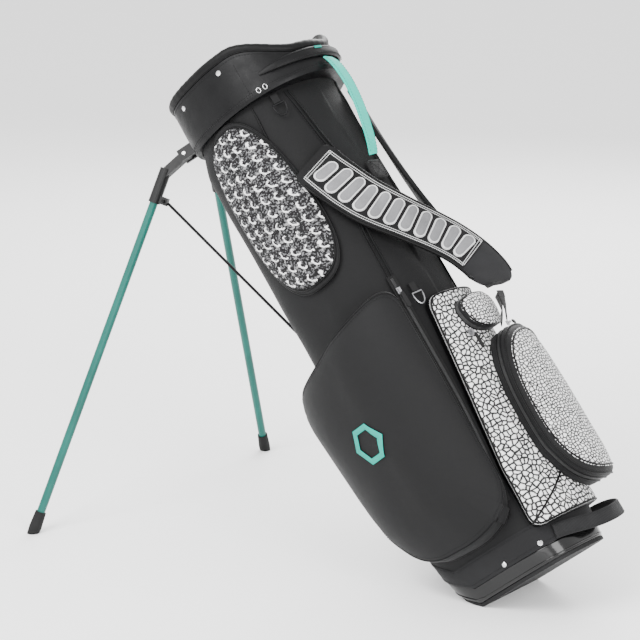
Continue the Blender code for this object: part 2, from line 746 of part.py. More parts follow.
def make_foot(leg, bore_end):
    """Rubber cap, cut level with the ground."""
    cap_top = leg.foot - FOOT_LENGTH * leg.tube
    up = TO_BAG.to_3x3() @ Vector((0, 0, 1))

    def grounded(point):
        drop = ground_height(point) / -leg.tube.dot(up)
        return point + drop * leg.tube

    count = 20
    rings = [circle(bore_end, leg.tube, LEG_RADIUS + GAP, count),
             circle(cap_top, leg.tube, LEG_RADIUS + GAP, count),
             circle(cap_top, leg.tube, FOOT_TOP_RADIUS, count),
             circle(leg.foot - 0.010 * leg.tube, leg.tube, FOOT_LOW_RADIUS, count)]
    rings.append([grounded(p) for p in circle(leg.foot, leg.tube, FOOT_LOW_RADIUS * 0.93, count)])
    foot = make('foot_cap_' + leg.word, *loft(rings, start=bore_end), 'rubber', leg.hinge)
    return foot


# ------------------------------------------------------------------ leg linkage
def slider_post(side):
    """Where a push rod meets the slider at rest."""
    return Vector((ACTUATOR_X, side * 0.0075, SLIDER_Z))


def rod_end(leg):
    """The free end of a push rod, short of its slider (the open pivot)."""
    line = (slider_post(leg.side) - leg.eye).normalized()
    return slider_post(leg.side) - WIRE_END_GAP * line


def slider_travel():
    """How far the slider moves down when the legs fold."""
    leg = LEGS[0]
    length = (slider_post(leg.side) - leg.eye).length
    folded_eye = leg.turned(leg.eye)
    post = slider_post(leg.side)
    across = Vector((post.x - folded_eye.x, post.y - folded_eye.y)).length
    return SLIDER_Z - (folded_eye.z - math.sqrt(length ** 2 - across ** 2))


def rod_motion(leg):
    """Axis and angle of a push rod against its leg, over the whole fold."""
    before = (slider_post(leg.side) - leg.eye).normalized()
    folded_eye = leg.turned(leg.eye)
    target = slider_post(leg.side) - Vector((0, 0, slider_travel()))
    back = Matrix.Rotation(-leg.fold, 3, leg.axis)
    after = (back @ (target - folded_eye)).normalized()
    return before.cross(after).normalized(), before.angle(after)


def make_linkage():
    for leg in LEGS:
        inner = LUG_HALF + WIRE_RADIUS + CLEAR
        side = rod_motion(leg)[0]
        side *= -1 if side.y * leg.side > 0 else 1
        points = [leg.eye - (inner + 0.001) * side, leg.eye + inner * side]
        toward = rod_end(leg)
        line = (toward - points[1]).normalized()
        points += [points[1] + 0.012 * line, toward]
        rod = bent_rod(points, WIRE_RADIUS, 10)
        make('push_rod_' + leg.word, *rod, 'black_wire', leg.eye)
    lowest = actuator_foot()
    start = Vector((ACTUATOR_X, 0, SLIDER_Z + SLIDER_HALF - 0.004))
    rod = cylinder(start, lowest, ACTUATOR_RADIUS, 12)
    make('actuator_rod', *rod, 'black_wire')
    axes = (Vector((1, 0, 0)), Vector((0, 1, 0)), Vector((0, 0, 1)))
    slider = make('actuator_slider', *box(Vector((ACTUATOR_X - 0.001, 0, SLIDER_Z)), axes,
                                          (0.0048, 0.0052, SLIDER_HALF)), 'frame_plastic')
    bore = cylinder(lowest, start + Vector((0, 0, 0.02)), ACTUATOR_RADIUS + CLEAR, 12)
    combine(slider, make('bore', *bore, 'frame_plastic'), 'DIFFERENCE')
    for z, name in zip(GUIDE_HEIGHTS, ('rod_guide_lower', 'rod_guide_upper')):
        inner_face = -BODY_STATIONS[2][2] - SEAT - 0.0012
        outer_face = ACTUATOR_X - ACTUATOR_RADIUS - 0.003
        centre = Vector(((inner_face + outer_face) / 2, 0, z))
        guide = make(name, *box(centre, axes, ((inner_face - outer_face) / 2, 0.008, 0.010)),
                     'frame_plastic')
        bore = cylinder(Vector((ACTUATOR_X, 0, z - 0.02)), Vector((ACTUATOR_X, 0, z + 0.02)),
                        ACTUATOR_RADIUS + CLEAR, 12)
        combine(guide, make('bore', *bore, 'frame_plastic'), 'DIFFERENCE')


def actuator_foot():
    """Lower end of the actuator rod, just over the foot lever."""
    lever_top = LEVER_THICK + 0.0008
    need = lever_top + 0.004 + ACTUATOR_RADIUS * math.sin(LEAN)
    z = (need - AXIS_LIFT - ACTUATOR_X * math.sin(LEAN)) / math.cos(LEAN)
    return Vector((ACTUATOR_X, 0, z))


# ------------------------------------------------------------------ pads and pockets
def degrees(value):
    return math.radians(value)


LOWER_PANEL_THICK = 0.015          # patterned pocket that carries the ball pocket
PANEL_ANGLE = degrees(31)
PANEL_Z = 0.240
PANEL_HALF_HEIGHT = 0.186
PANEL_RIGHT = 0.118                # edge away from the apparel pocket
PANEL_LEFT_TOP = 0.100             # the other edge slants outwards towards the base
PANEL_LEFT_LOW = 0.140
BALL_ANGLE = degrees(30)
BALL_Z = 0.207
BALL_THICK = 0.053
BALL_HALF_WIDTH = 0.068
BALL_HALF_HEIGHT = 0.130
VALUE_ANGLE = degrees(13)
VALUE_Z = 0.376


def pocket_swell(t):
    """The large pocket is fullest near its top and thins towards the base."""
    return blend(0.74, 1.08, min(max((t + 0.16) / 0.24, 0.0), 1.0))


def make_pads():
    wall_pad('hip_pad', 'link_fabric', degrees(-88), 0.665,
             rounded(0.060, 0.142, 2.6, 32, 0.10, -0.06),
             ((1.0, 0.004), (0.97, 0.012), (0.85, 0.017), (0.5, 0.019), (0, 0.0195)), under=5)

    wall_pad('apparel_pocket_left', 'body_fabric', degrees(-92), 0.268,
             cornered(((0.102, 0.205), (0.102, -0.160), (0.060, -0.196), (-0.058, -0.190),
                       (-0.104, -0.095), (-0.118, 0.130)), 0.040, 40),
             ((1.0, 0.003), (0.985, 0.024), (0.94, 0.037), (0.75, 0.045), (0.4, 0.048), (0, 0.048)),
             swell=pocket_swell, under=8)
    wall_pad('apparel_pocket_right', 'body_fabric', degrees(124), 0.300,
             cornered(((0.060, 0.190), (0.060, -0.180), (-0.058, -0.180), (-0.058, 0.190)), 0.03, 36),
             ((1.0, 0.003), (0.97, 0.018), (0.86, 0.030), (0.5, 0.036), (0, 0.037)), under=14, out=SEAT + GAP)

    wall_pad('lower_panel', 'pebble_fabric', PANEL_ANGLE, PANEL_Z,
             cornered(((PANEL_RIGHT, PANEL_HALF_HEIGHT), (PANEL_RIGHT, -PANEL_HALF_HEIGHT),
                       (-PANEL_LEFT_LOW, -PANEL_HALF_HEIGHT), (-PANEL_LEFT_TOP, PANEL_HALF_HEIGHT)),
                      0.020, 44),
             ((1.0, 0.004), (0.98, LOWER_PANEL_THICK), (0.75, LOWER_PANEL_THICK),
              (0.5, LOWER_PANEL_THICK), (0.25, LOWER_PANEL_THICK), (0, LOWER_PANEL_THICK)),
             under=10)
    over_panel = LOWER_PANEL_THICK + SEAT
    wall_pad('ball_pocket', 'pebble_fabric', BALL_ANGLE, BALL_Z,
             rounded(BALL_HALF_WIDTH, BALL_HALF_HEIGHT, 2.5, 36, 0.14, -0.05),
             ((1.0, 0.003), (1.0, BALL_THICK * 0.72), (0.94, BALL_THICK * 0.88),
              (0.7, BALL_THICK * 0.96), (0.35, BALL_THICK), (0, BALL_THICK)),
             under=6, out=SEAT + over_panel)
    wall_pad('valuables_pocket', 'pebble_fabric', VALUE_ANGLE, VALUE_Z,
             rounded(0.036, 0.028, 2.6, 24, -0.15),
             ((1.0, 0.003), (0.98, 0.012), (0.8, 0.019), (0.4, 0.022), (0, 0.0225)), under=3,
             out=SEAT + over_panel)


# ------------------------------------------------------------------ straps and handles
STRAP_WIDTH = 0.078
STRAP_THICK = 0.010


def route(stations):
    """Centres and facing directions from (angle, height, out) or (angle, height, out, facing)."""
    centres, normals = [], []
    for turn, z, out, *facing in stations:
        angle = degrees(turn)
        here = wall_point(angle, z, out)
        centres.append(here)
        if facing:
            toward = degrees(facing[0])
            normals.append(Vector((math.cos(toward), math.sin(toward), 0.0)))
        else:
            normals.append((wall_point(angle, z, out + 0.01) - here).normalized())
    return centres, normals


def strap(name, finish, stations, width, thickness, steps=3, ends=(1.0, 1.0)):
    centres, normals = route(stations)
    centres, normals = smooth(centres, steps), smooth(normals, steps)
    sides, widths = [], []
    count = len(centres)
    for i, normal in enumerate(normals):
        ahead = centres[min(i + 1, count - 1)] - centres[max(i - 1, 0)]
        sides.append(ahead.cross(normal).normalized())
        share = i / (count - 1)
        near_end = min(share, 1 - share) * 8
        end = ends[0] if share < 0.5 else ends[1]
        widths.append(width * blend(end, 1.0, min(near_end, 1.0) ** 0.5))
    return make(name, *ribbon(centres, sides, widths, thickness), finish)


FRONT_STRAP = ((-45, 0.688, 0.0095), (-37, 0.647, 0.0095), (-24, 0.597, 0.012, -26),
               (-6, 0.549, 0.021, -14), (9, 0.512, 0.032, -8), (18, 0.483, 0.043, -8),
               (23, 0.453, 0.053, -10), (24, 0.425, 0.060, -12), (22, 0.400, 0.063, -12))
REAR_STRAP = ((38, 0.785, 0.013), (41, 0.700, 0.014), (47, 0.610, 0.020), (54, 0.520, 0.034),
              (58, 0.450, 0.050), (60, 0.420, 0.056))


def make_straps():
    strap('strap_pad_front', 'strap_fabric', FRONT_STRAP, STRAP_WIDTH, STRAP_THICK, 3, (0.7, 0.7))
    strap('strap_pad_rear', 'strap_fabric', REAR_STRAP, 0.060, STRAP_THICK, 3, (0.5, 0.55))
    strap('strap_web_front', 'webbing_black',
          ((20, 0.388, 0.0635), (20, 0.375, 0.061), (22, 0.363, 0.056), (25, 0.353, 0.048)),
          0.025, 0.0022)
    strap('strap_web_rear', 'webbing_black',
          ((60.5, 0.405, 0.056), (60, 0.388, 0.054), (58, 0.374, 0.046), (56, 0.362, 0.036)),
          0.025, 0.0022)
    strap('lift_handle', 'webbing_teal',
          ((6, 0.826, 0.0330), (5, 0.808, 0.0410), (5, 0.775, 0.0430), (6, 0.735, 0.037),
           (7, 0.690, 0.024), (8, 0.664, 0.012)),
          0.024, 0.0045, 3)
    wall_pad('handle_anchor', 'webbing_black', degrees(8), 0.642, rounded(0.019, 0.016, 5.0, 16),
             ((1.0, 0.003), (0.9, 0.0055), (0, 0.006)), under=2)
    handle = [(-26, 0.040, 0.0045), (-17, 0.037, 0.007), (-5, 0.032, 0.014), (8, 0.027, 0.025),
              (19, 0.026, 0.036), (31, 0.030, 0.042), (42, 0.037, 0.037), (51, 0.041, 0.026),
              (59, 0.041, 0.015), (66, 0.040, 0.0055)]
    centres, normals = route(handle)
    centres, normals = smooth(centres, 3), smooth(normals, 3)
    up = [Vector((0, 0, 1))] * len(centres)
    make('base_handle', *ribbon(centres, up, [0.022] * len(centres), 0.004), 'webbing_black')


# ------------------------------------------------------------------ hardware
def ring_of(name, centre, across, down, half_width, drop, wire, finish, pivot):
    """Closed D-shaped ring of round wire hanging from a straight bar."""
    path = []
    for share in range(14):
        turn = math.pi * share / 13
        path.append(centre + half_width * math.cos(turn) * across
                    + (drop * abs(math.sin(turn)) ** 0.8) * down)
    normal = across.cross(down).normalized()
    rings = []
    count = len(path)
    for i, point in enumerate(path):
        ahead = (path[(i + 1) % count] - path[i - 1]).normalized()
        other = ahead.cross(normal).normalized()
        rings.append([point + wire * (math.cos(a) * normal + math.sin(a) * other)
                      for a in (2 * math.pi * k / 8 for k in range(8))])
    return make(name, *loft(rings, cyclic=True), finish, pivot)


def frame_at(angle, z, out):
    """Place on the wall with its outward, sideways and upward directions."""
    here = wall_point(angle, z, out)
    outward = (wall_point(angle, z, out + 0.01) - here).normalized()
    up = (wall_point(angle, z + 0.01, out) - here).normalized()
    return here, outward, up.cross(outward).normalized(), up


def make_zip(word, angle, z, out, pull_turn=0.0):
    """Zip slider and its pull, which hinges on the slider's nose."""
    here, outward, across, up = frame_at(angle, z, out)
    along = (math.cos(pull_turn) * -up + math.sin(pull_turn) * across).normalized()
    across = along.cross(outward).normalized()
    body = box(here, (across, along, outward), (0.0034, 0.0052, 0.0016))
    slider = make('zip_slider_' + word, *body, 'polished_steel', here)
    bridge = here + 0.0030 * outward
    combine(slider, make('bridge', *box(bridge, (across, along, outward),
                                        (0.0014, 0.0036, 0.0022)), 'polished_steel', here), 'UNION')
    pivot = here + 0.0072 * outward + 0.0030 * along
    centre = pivot + 0.0135 * along
    pull = box(centre, (across, along, outward), (0.0036, 0.0135, 0.0011))
    return make('zip_pull_' + word, *pull, 'webbing_black', pivot)


D_RING = (degrees(-24), 0.440)
TOWEL_RING = (degrees(-44), 0.790)


def make_hardware():
    for word, (angle, z), half, drop in (('d_ring', D_RING, 0.0085, 0.019),
                                         ('towel_ring', TOWEL_RING, 0.0100, 0.020)):
        here, outward, across, up = frame_at(angle, z, SEAT + 0.0050)
        ring_of(word, here, across, -up, half, drop, 0.0013, 'polished_steel', here)
        tab_at = here + 0.0095 * up - 0.0016 * outward
        tab = box(tab_at, (across, up, outward), (0.0052, 0.0072, 0.0014))
        make(word + '_tab', *tab, 'webbing_black')
    make_zip('apparel', degrees(-36), 0.452, 0.0070)
    make_zip('valuables', VALUE_ANGLE - degrees(19), VALUE_Z - 0.026,
             LOWER_PANEL_THICK + 2 * SEAT + 0.004)
    make_zip('ball', BALL_ANGLE + degrees(4), BALL_Z + BALL_HALF_HEIGHT + 0.0095, 0.0400,
             math.pi / 2)


def make_rivets():
    """Domed rivets through the fabric's hem over the tray and through the collar."""
    places = []
    for i, turn in enumerate((-72, -38, 2, 118)):
        angle = degrees(turn)
        here = wall_point(angle, seam_height(angle) + 0.007, SEAT)
        away = (wall_point(angle, seam_height(angle) + 0.007, 0.01) - here).normalized()
        places.append(('rivet_base_%d' % (i + 1), here, away))
    for i, (turn, z) in enumerate(((-70, 0.877), (-112, 0.875), (70, 0.877))):
        angle = degrees(turn)
        here = section_point(angle, COLLAR_SECTION, GAP) + Vector((0, 0, z))
        away = section_point(angle, COLLAR_SECTION, 0.01) + Vector((0, 0, z)) - here
        places.append(('rivet_collar_%d' % (i + 1), here, away.normalized()))
    for name, here, away in places:
        rings = [circle(here, away, 0.0042, 12), circle(here + 0.0012 * away, away, 0.0040, 12),
                 circle(here + 0.0022 * away, away, 0.0022, 12)]
        make(name, *loft(rings), 'polished_steel')


def main():
    clear_scene()
    bag_frame()
    tray, sole = make_base()
    make_lever(tray, sole)
    make_body()
    make_inside()
    make_collar()
    make_grip()
    make_bracket()
    for leg in LEGS:
        make_leg(leg)
    make_linkage()
    make_pads()
    make_straps()
    make_hardware()
    make_rivets()


main()
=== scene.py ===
"""Golf stand bag: its cloth, leather, webbing and hard finishes, made over the packed frame."""
import math

import bmesh
import bpy
import numpy as np
from bpy.props import FloatProperty, FloatVectorProperty, IntProperty, PointerProperty
from mathutils import Matrix, Vector


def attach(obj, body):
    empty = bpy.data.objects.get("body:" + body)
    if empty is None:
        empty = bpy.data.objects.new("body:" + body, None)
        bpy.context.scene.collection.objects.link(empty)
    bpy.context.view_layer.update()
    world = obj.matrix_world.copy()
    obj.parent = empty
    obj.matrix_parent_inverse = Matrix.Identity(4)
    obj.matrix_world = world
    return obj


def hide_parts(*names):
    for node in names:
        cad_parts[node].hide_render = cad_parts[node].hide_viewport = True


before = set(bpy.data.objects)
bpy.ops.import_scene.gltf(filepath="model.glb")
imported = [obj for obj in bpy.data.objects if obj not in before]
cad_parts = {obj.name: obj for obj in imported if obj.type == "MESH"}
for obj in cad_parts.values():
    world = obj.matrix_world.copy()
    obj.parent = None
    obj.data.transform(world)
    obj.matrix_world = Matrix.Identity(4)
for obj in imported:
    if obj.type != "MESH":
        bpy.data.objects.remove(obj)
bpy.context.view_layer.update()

bl_info = {
    "name": "Golf Stand Bag",
    "version": (1, 0, 0),
    "blender": (4, 5, 0),
    "location": "View3D > Sidebar > Stand Bag",
    "description": "Makes the soft goods and finishes of a golf stand bag",
    "category": "Object",
}

# ---------------------------------------------------------------- the bag's own frame
LEAN = math.radians(39.0)
AXIS_LIFT = 0.0381
REST_LENGTH = 0.044
BAG_ORIGIN = Vector((REST_LENGTH / 2 + AXIS_LIFT / math.tan(LEAN), 0.0, AXIS_LIFT))
BAG_MATRIX = Matrix.Translation(BAG_ORIGIN) @ Matrix.Rotation(-LEAN, 4, "Y")

BODY_TOP = 0.840
BODY_WALL = 0.0025
COLLAR_LOW, COLLAR_HIGH, COLLAR_DIP = 0.811, 0.897, 0.858
COLLAR_SKIN = 0.0035
ROLL_HALF, ROLL_THICK = 0.0075, 0.0055
SEAM_LIFT, TRAY_HEIGHT = 0.028, 0.028
SEAT = 0.0016
PANEL_THICK = 0.015

# half depth strap side, half depth leg side, half width and both powers at each height
HEIGHTS = np.array((0.000, 0.060, 0.150, 0.770, 0.806, 0.860))
SECTIONS = np.array((
    (0.112, 0.100, 0.074, 3.2, 4.5),
    (0.112, 0.105, 0.099, 2.6, 4.2),
    (0.107, 0.113, 0.117, 2.0, 4.0),
    (0.106, 0.114, 0.118, 2.0, 4.0),
    (0.105, 0.109, 0.114, 2.0, 3.0),
    (0.104, 0.108, 0.113, 2.0, 3.0),
))
COLLAR_SECTION = (0.132, 0.117, 0.123, 2.0, 3.0)
TURN = 2 * math.pi


def rad(value):
    return value * math.pi / 180


def unit(vectors):
    return vectors / np.maximum(np.linalg.norm(vectors, axis=-1, keepdims=True), 1e-12)


def section(angle, z, sizes, out):
    """Points of a section outline at an angle round the bag, moved outwards."""
    front, back, width, front_power, back_power = sizes

    def at(a):
        c, s = np.cos(a), np.sin(a)
        depth = np.where(c >= 0, front, back)
        power = np.where(c >= 0, front_power, back_power)
        radius = (np.abs(c / depth) ** power + np.abs(s / width) ** power) ** (-1 / power)
        return np.stack([radius * c, radius * s, 0 * c], -1)

    along = unit(at(angle + 0.01) - at(angle - 0.01))
    normal = np.stack([along[..., 1], -along[..., 0], 0 * along[..., 0]], -1)
    point = at(angle) + np.asarray(out)[..., None] * normal
    point[..., 2] = z
    return point


def wall(angle, z, out=0.0):
    angle, z, out = np.broadcast_arrays(*(np.asarray(v, float) for v in (angle, z, out)))
    sizes = [np.interp(z, HEIGHTS, SECTIONS[:, k]) for k in range(5)]
    return section(angle, z, sizes, out)


def cuff(angle, z, out=0.0):
    angle, z, out = np.broadcast_arrays(*(np.asarray(v, float) for v in (angle, z, out)))
    return section(angle, z, COLLAR_SECTION, out)


def walk(start, distance, z):
    """Angle reached by walking a distance round the wall from a start angle."""
    steps = 8
    angle = start + 0 * distance
    for _ in range(steps):
        rate = np.linalg.norm(wall(angle + 0.005, z) - wall(angle - 0.005, z), axis=-1) / 0.01
        angle = angle + distance / steps / rate
    return angle


def seam_height(angle):
    """Height of the tray's visible edge, which rises over the ground facet."""
    x = wall(angle, 0.05)[..., 0]
    over = (SEAM_LIFT - AXIS_LIFT - x * math.sin(LEAN)) / math.cos(LEAN)
    return np.maximum(TRAY_HEIGHT, over)


def rim_height(angle):
    """The rim dips over the grip on the strap side."""
    turned = np.abs((angle + math.pi) % TURN - math.pi)
    t = np.clip((turned - rad(12)) / rad(48), 0.0, 1.0)
    return COLLAR_DIP + (COLLAR_HIGH - COLLAR_DIP) * t * t * (3 - 2 * t)


def place_at(angle, z, out):
    """Place on the wall with its outward, sideways and upward directions."""
    here = wall(angle, z, out)
    outward = unit(wall(angle, z, out + 0.01) - here)
    up = unit(wall(angle, z + 0.01, out) - here)
    return here, outward, unit(np.cross(up, outward)), up


# ---------------------------------------------------------------- outlines and lines
def rounded(half_width, half_height, power, taper=0.0, lean=0.0, count=144):
    angle = np.arange(count) * TURN / count
    c, s = np.cos(angle), np.sin(angle)
    x = half_width * np.copysign(np.abs(c) ** (2 / power), c)
    y = half_height * np.copysign(np.abs(s) ** (2 / power), s)
    return even(np.stack([x * (1 - taper * y / half_height) + lean * y, y], -1), count)


def cornered(corners, radius, count=176):
    corners = np.array(corners, float)
    path = []
    t = np.linspace(0, 1, 9)[:, None]
    for i, here in enumerate(corners):
        before, after = corners[i - 1], corners[(i + 1) % len(corners)]
        start = here + unit(before - here) * radius
        end = here + unit(after - here) * radius
        path.append((1 - t) ** 2 * start + 2 * t * (1 - t) * here + t * t * end)
    return even(np.concatenate(path), count)


def looped(line):
    """The line with its first point again at its end."""
    return np.concatenate([line, line[:1]])


def run_of(path):
    """Running length at each point of a path."""
    return np.concatenate([[0], np.cumsum(np.linalg.norm(np.diff(path, axis=0), axis=1))])


def even(path, count, closed=True):
    """Points at equal steps along a line."""
    path = looped(path) if closed else path
    run = run_of(path)
    want = np.linspace(0, run[-1], count, endpoint=not closed)
    return np.stack([np.interp(want, run, path[:, k]) for k in range(path.shape[1])], -1)


def smooth(points, steps):
    """Catmull-Rom curve through rows of numbers."""
    points = np.asarray(points, float)
    padded = np.concatenate([points[:1], points, points[-1:]])
    t = (np.arange(steps) / steps)[:, None]
    parts = []
    for p0, p1, p2, p3 in zip(padded, padded[1:], padded[2:], padded[3:]):
        parts.append(0.5 * (2 * p1 + (p2 - p0) * t + (2 * p0 - 5 * p1 + 4 * p2 - p3) * t ** 2
                            + (3 * p1 - p0 - 3 * p2 + p3) * t ** 3))
    return np.concatenate(parts + [points[-1:]])


def wall_line(stations, steps=8):
    """Line on the wall through (degrees, height, out)."""
    dense = smooth(stations, steps)
    return wall(rad(dense[:, 0]), dense[:, 1], dense[:, 2])


def ripple(a, b, seed):
    """Smooth repeatable unevenness between -1 and 1 over two lengths."""
    chance = np.random.default_rng(seed)
    total = 0.0
    for k in range(6):
        waves = chance.uniform(-1, 1, 2) * (1.0 + 0.6 * k)
        total = total + np.sin(waves[0] * a + waves[1] * b + chance.uniform(0, TURN)) / (1 + 0.5 * k)
    return total / 3.2


# ---------------------------------------------------------------- mesh building
class Shape:
    """Collects swept patches for one piece, in the bag's frame."""

    def __init__(self):
        self.points, self.faces, self.cloth, self.finish = [], [], [], []
        self.total = 0

    def sweep(self, rings, cloth=None, ring=True, loop=False, start=None, end=None, finish=0):
        """Faces through rings of equal count; start and end close it at a centre point."""
        rings = np.asarray(rings, float)
        n, m = rings.shape[:2]
        if cloth is None:
            cloth = self.lengths(rings, ring, loop)
        base = self.total
        self.points.append(rings.reshape(-1, 3))
        self.total += n * m
        rows = np.arange(n if loop else n - 1)
        cols = np.arange(m if ring else m - 1)
        i, j = np.meshgrid(rows, cols, indexing="ij")
        i2, j2 = (i + 1) % n, (j + 1) % m
        quads = np.stack([i * m + j, i * m + j2, i2 * m + j2, i2 * m + j], -1) + base
        self.faces += quads.reshape(-1, 4).tolist()
        spots = np.stack([cloth[i, j], cloth[i, j + 1], cloth[i + 1, j + 1], cloth[i + 1, j]], 2)
        self.cloth.append(spots.reshape(-1, 2))
        kinds = np.broadcast_to(np.asarray(finish), (len(rows),))
        self.finish += np.repeat(kinds, len(cols)).tolist()
        for centre, row, kind in ((start, 0, 0), (end, n - 1, -1)):
            if centre is None:
                continue
            self.points.append(np.asarray(centre, float).reshape(1, 3))
            tip = self.total
            self.total += 1
            middle = cloth[row, :m].mean(0)
            for k in range(m):
                self.faces.append([base + row * m + k, base + row * m + (k + 1) % m, tip])
                self.cloth.append(np.stack([cloth[row, k], cloth[row, k + 1], middle]))
                self.finish.append(int(kinds[kind]))
        return self

    @staticmethod
    def lengths(rings, ring, loop):
        """Cloth coordinates in metres: round the ring, and along the sweep."""
        middle = rings[len(rings) // 2]
        across = run_of(looped(middle) if ring else middle)
        centres = rings.mean(1)
        along = run_of(looped(centres) if loop else centres)
        u, v = np.meshgrid(across, along)
        return np.stack([u, v], -1)

    def tube(self, line, radius, sides=8, loop=False, finish=0, facing=None):
        """Round cord along a line."""
        line = np.asarray(line, float)
        if loop:
            ahead = np.roll(line, -1, 0) - np.roll(line, 1, 0)
        else:
            ahead = np.gradient(line, axis=0)
        ahead = unit(ahead)
        away = facing if facing is not None else line * (1, 1, 0) + (1e-6, 0, 0)
        away = unit(away - (away * ahead).sum(-1, keepdims=True) * ahead)
        side = np.cross(ahead, away)
        turn = np.arange(sides) * TURN / sides
        radius = np.broadcast_to(radius, (len(line),))[:, None, None]
        rings = line[:, None] + radius * (np.cos(turn)[None, :, None] * away[:, None]
                                          + np.sin(turn)[None, :, None] * side[:, None])
        ends = {} if loop else {"start": line[0], "end": line[-1]}
        return self.sweep(rings, loop=loop, finish=finish, **ends)

    def stitches(self, line, pitch=0.0042, share=0.68, radius=0.00045, finish=0):
        """Row of separate thread stitches along a line."""
        run = np.linalg.norm(np.diff(line, axis=0), axis=1).sum()
        count = max(int(run / pitch), 2)
        dense = even(np.asarray(line), count * 6 + 1, closed=False)
        for k in range(count):
            part = dense[k * 6:k * 6 + 6]
            middle, half = part.mean(0), (part[-1] - part[0]) * share * 0.6
            ends = np.array([middle - half, middle - half * 0.5, middle + half * 0.5, middle + half])
            self.tube(ends, np.array([0.3, 1.0, 1.0, 0.3]) * radius, sides=5, finish=finish)
        return self

    def hem(self, line, sizes):
        """Closed row of stitches in the scene's own sizes."""
        return self.stitches(looped(line), sizes.stitch, radius=sizes.thread)

    def make(self, name, finishes, body="bag", slot=None, sharp=50.0):
        """The piece itself, riding on a body of the frame."""
        mesh = bpy.data.meshes.new(name)
        points = np.concatenate(self.points)
        turned = points @ np.array(BAG_MATRIX.to_3x3()).T + np.array(BAG_ORIGIN)
        mesh.from_pydata(turned.tolist(), [], self.faces)
        for finish in finishes:
            mesh.materials.append(finish)
        mesh.polygons.foreach_set("material_index", self.finish)
        layer = mesh.uv_layers.new(name="cloth")
        layer.data.foreach_set("uv", np.concatenate(self.cloth).astype(np.float32).ravel())
        shape = bmesh.new()
        shape.from_mesh(mesh)
        bmesh.ops.recalc_face_normals(shape, faces=shape.faces)
        shape.to_mesh(mesh)
        shape.free()
        mesh.shade_smooth()
        mesh.set_sharp_from_angle(angle=rad(sharp))
        piece = bpy.data.objects.new(name, mesh)
        bpy.context.scene.collection.objects.link(piece)
        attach(piece, body)
        return piece


class Pad:
    """Soft piece on the wall, between an outline and rows of (scale, height)."""

    def __init__(self, angle, z, outline, out=SEAT, swell=None):
        self.angle, self.z, self.outline, self.out = angle, z, outline, out
        self.swell = swell or (lambda s, t: 1.0 + 0 * t)

    def at(self, s, t, height):
        s, t, height = np.broadcast_arrays(*(np.asarray(v, float) for v in (s, t, height)))
        turned = walk(self.angle, s, self.z + t)
        return wall(turned, self.z + t, self.out + self.swell(s, t) * height)

    def ring(self, scale, height):
        s, t = self.outline.T
        return self.at(s * scale, t * scale, height)

    def shape(self, rows, finish, uneven=0.0, seed=1, under=5):
        """Rows are (scale, height, finish); the underside follows the wall."""
        shape = Shape()
        s, t = self.outline.T
        edge = looped(self.outline)
        run = run_of(edge)
        rings = [self.ring((i + 1) / under, 0.0) for i in range(under)]
        cloth = [edge * (i + 1) / under for i in range(under)]
        kinds = [finish] * under
        for scale, height, kind in rows:
            fullness = uneven * ripple(s * scale * 34, t * scale * 22, seed)
            fullness = fullness * min(1.0, 4 * (1.0 - scale)) if scale > 0.75 else fullness
            rings.append(self.ring(scale, height + fullness))
            cloth.append(edge * scale if kind >= 0 else np.stack([run, 0 * run + height], -1))
            kinds.append(abs(kind) - 1 if kind < 0 else kind)
        return shape.sweep(np.stack(rings), np.stack(cloth), start=self.at(0, 0, 0.0),
                           end=self.at(0, 0, rows[-1][1]), finish=kinds[1:])


def crown(start, edge, top, rows=14, finish=0):
    """Rows of a padded face that rises from its edge (scale, height) to its crown."""
    t = np.linspace(0, 1, rows)[1:]
    scales = start * (1 - t) + 0.02 * t
    heights = edge + (top - edge) * np.sin(t * math.pi / 2) ** 0.8
    return [(float(s), float(h), finish) for s, h in zip(scales, heights)]


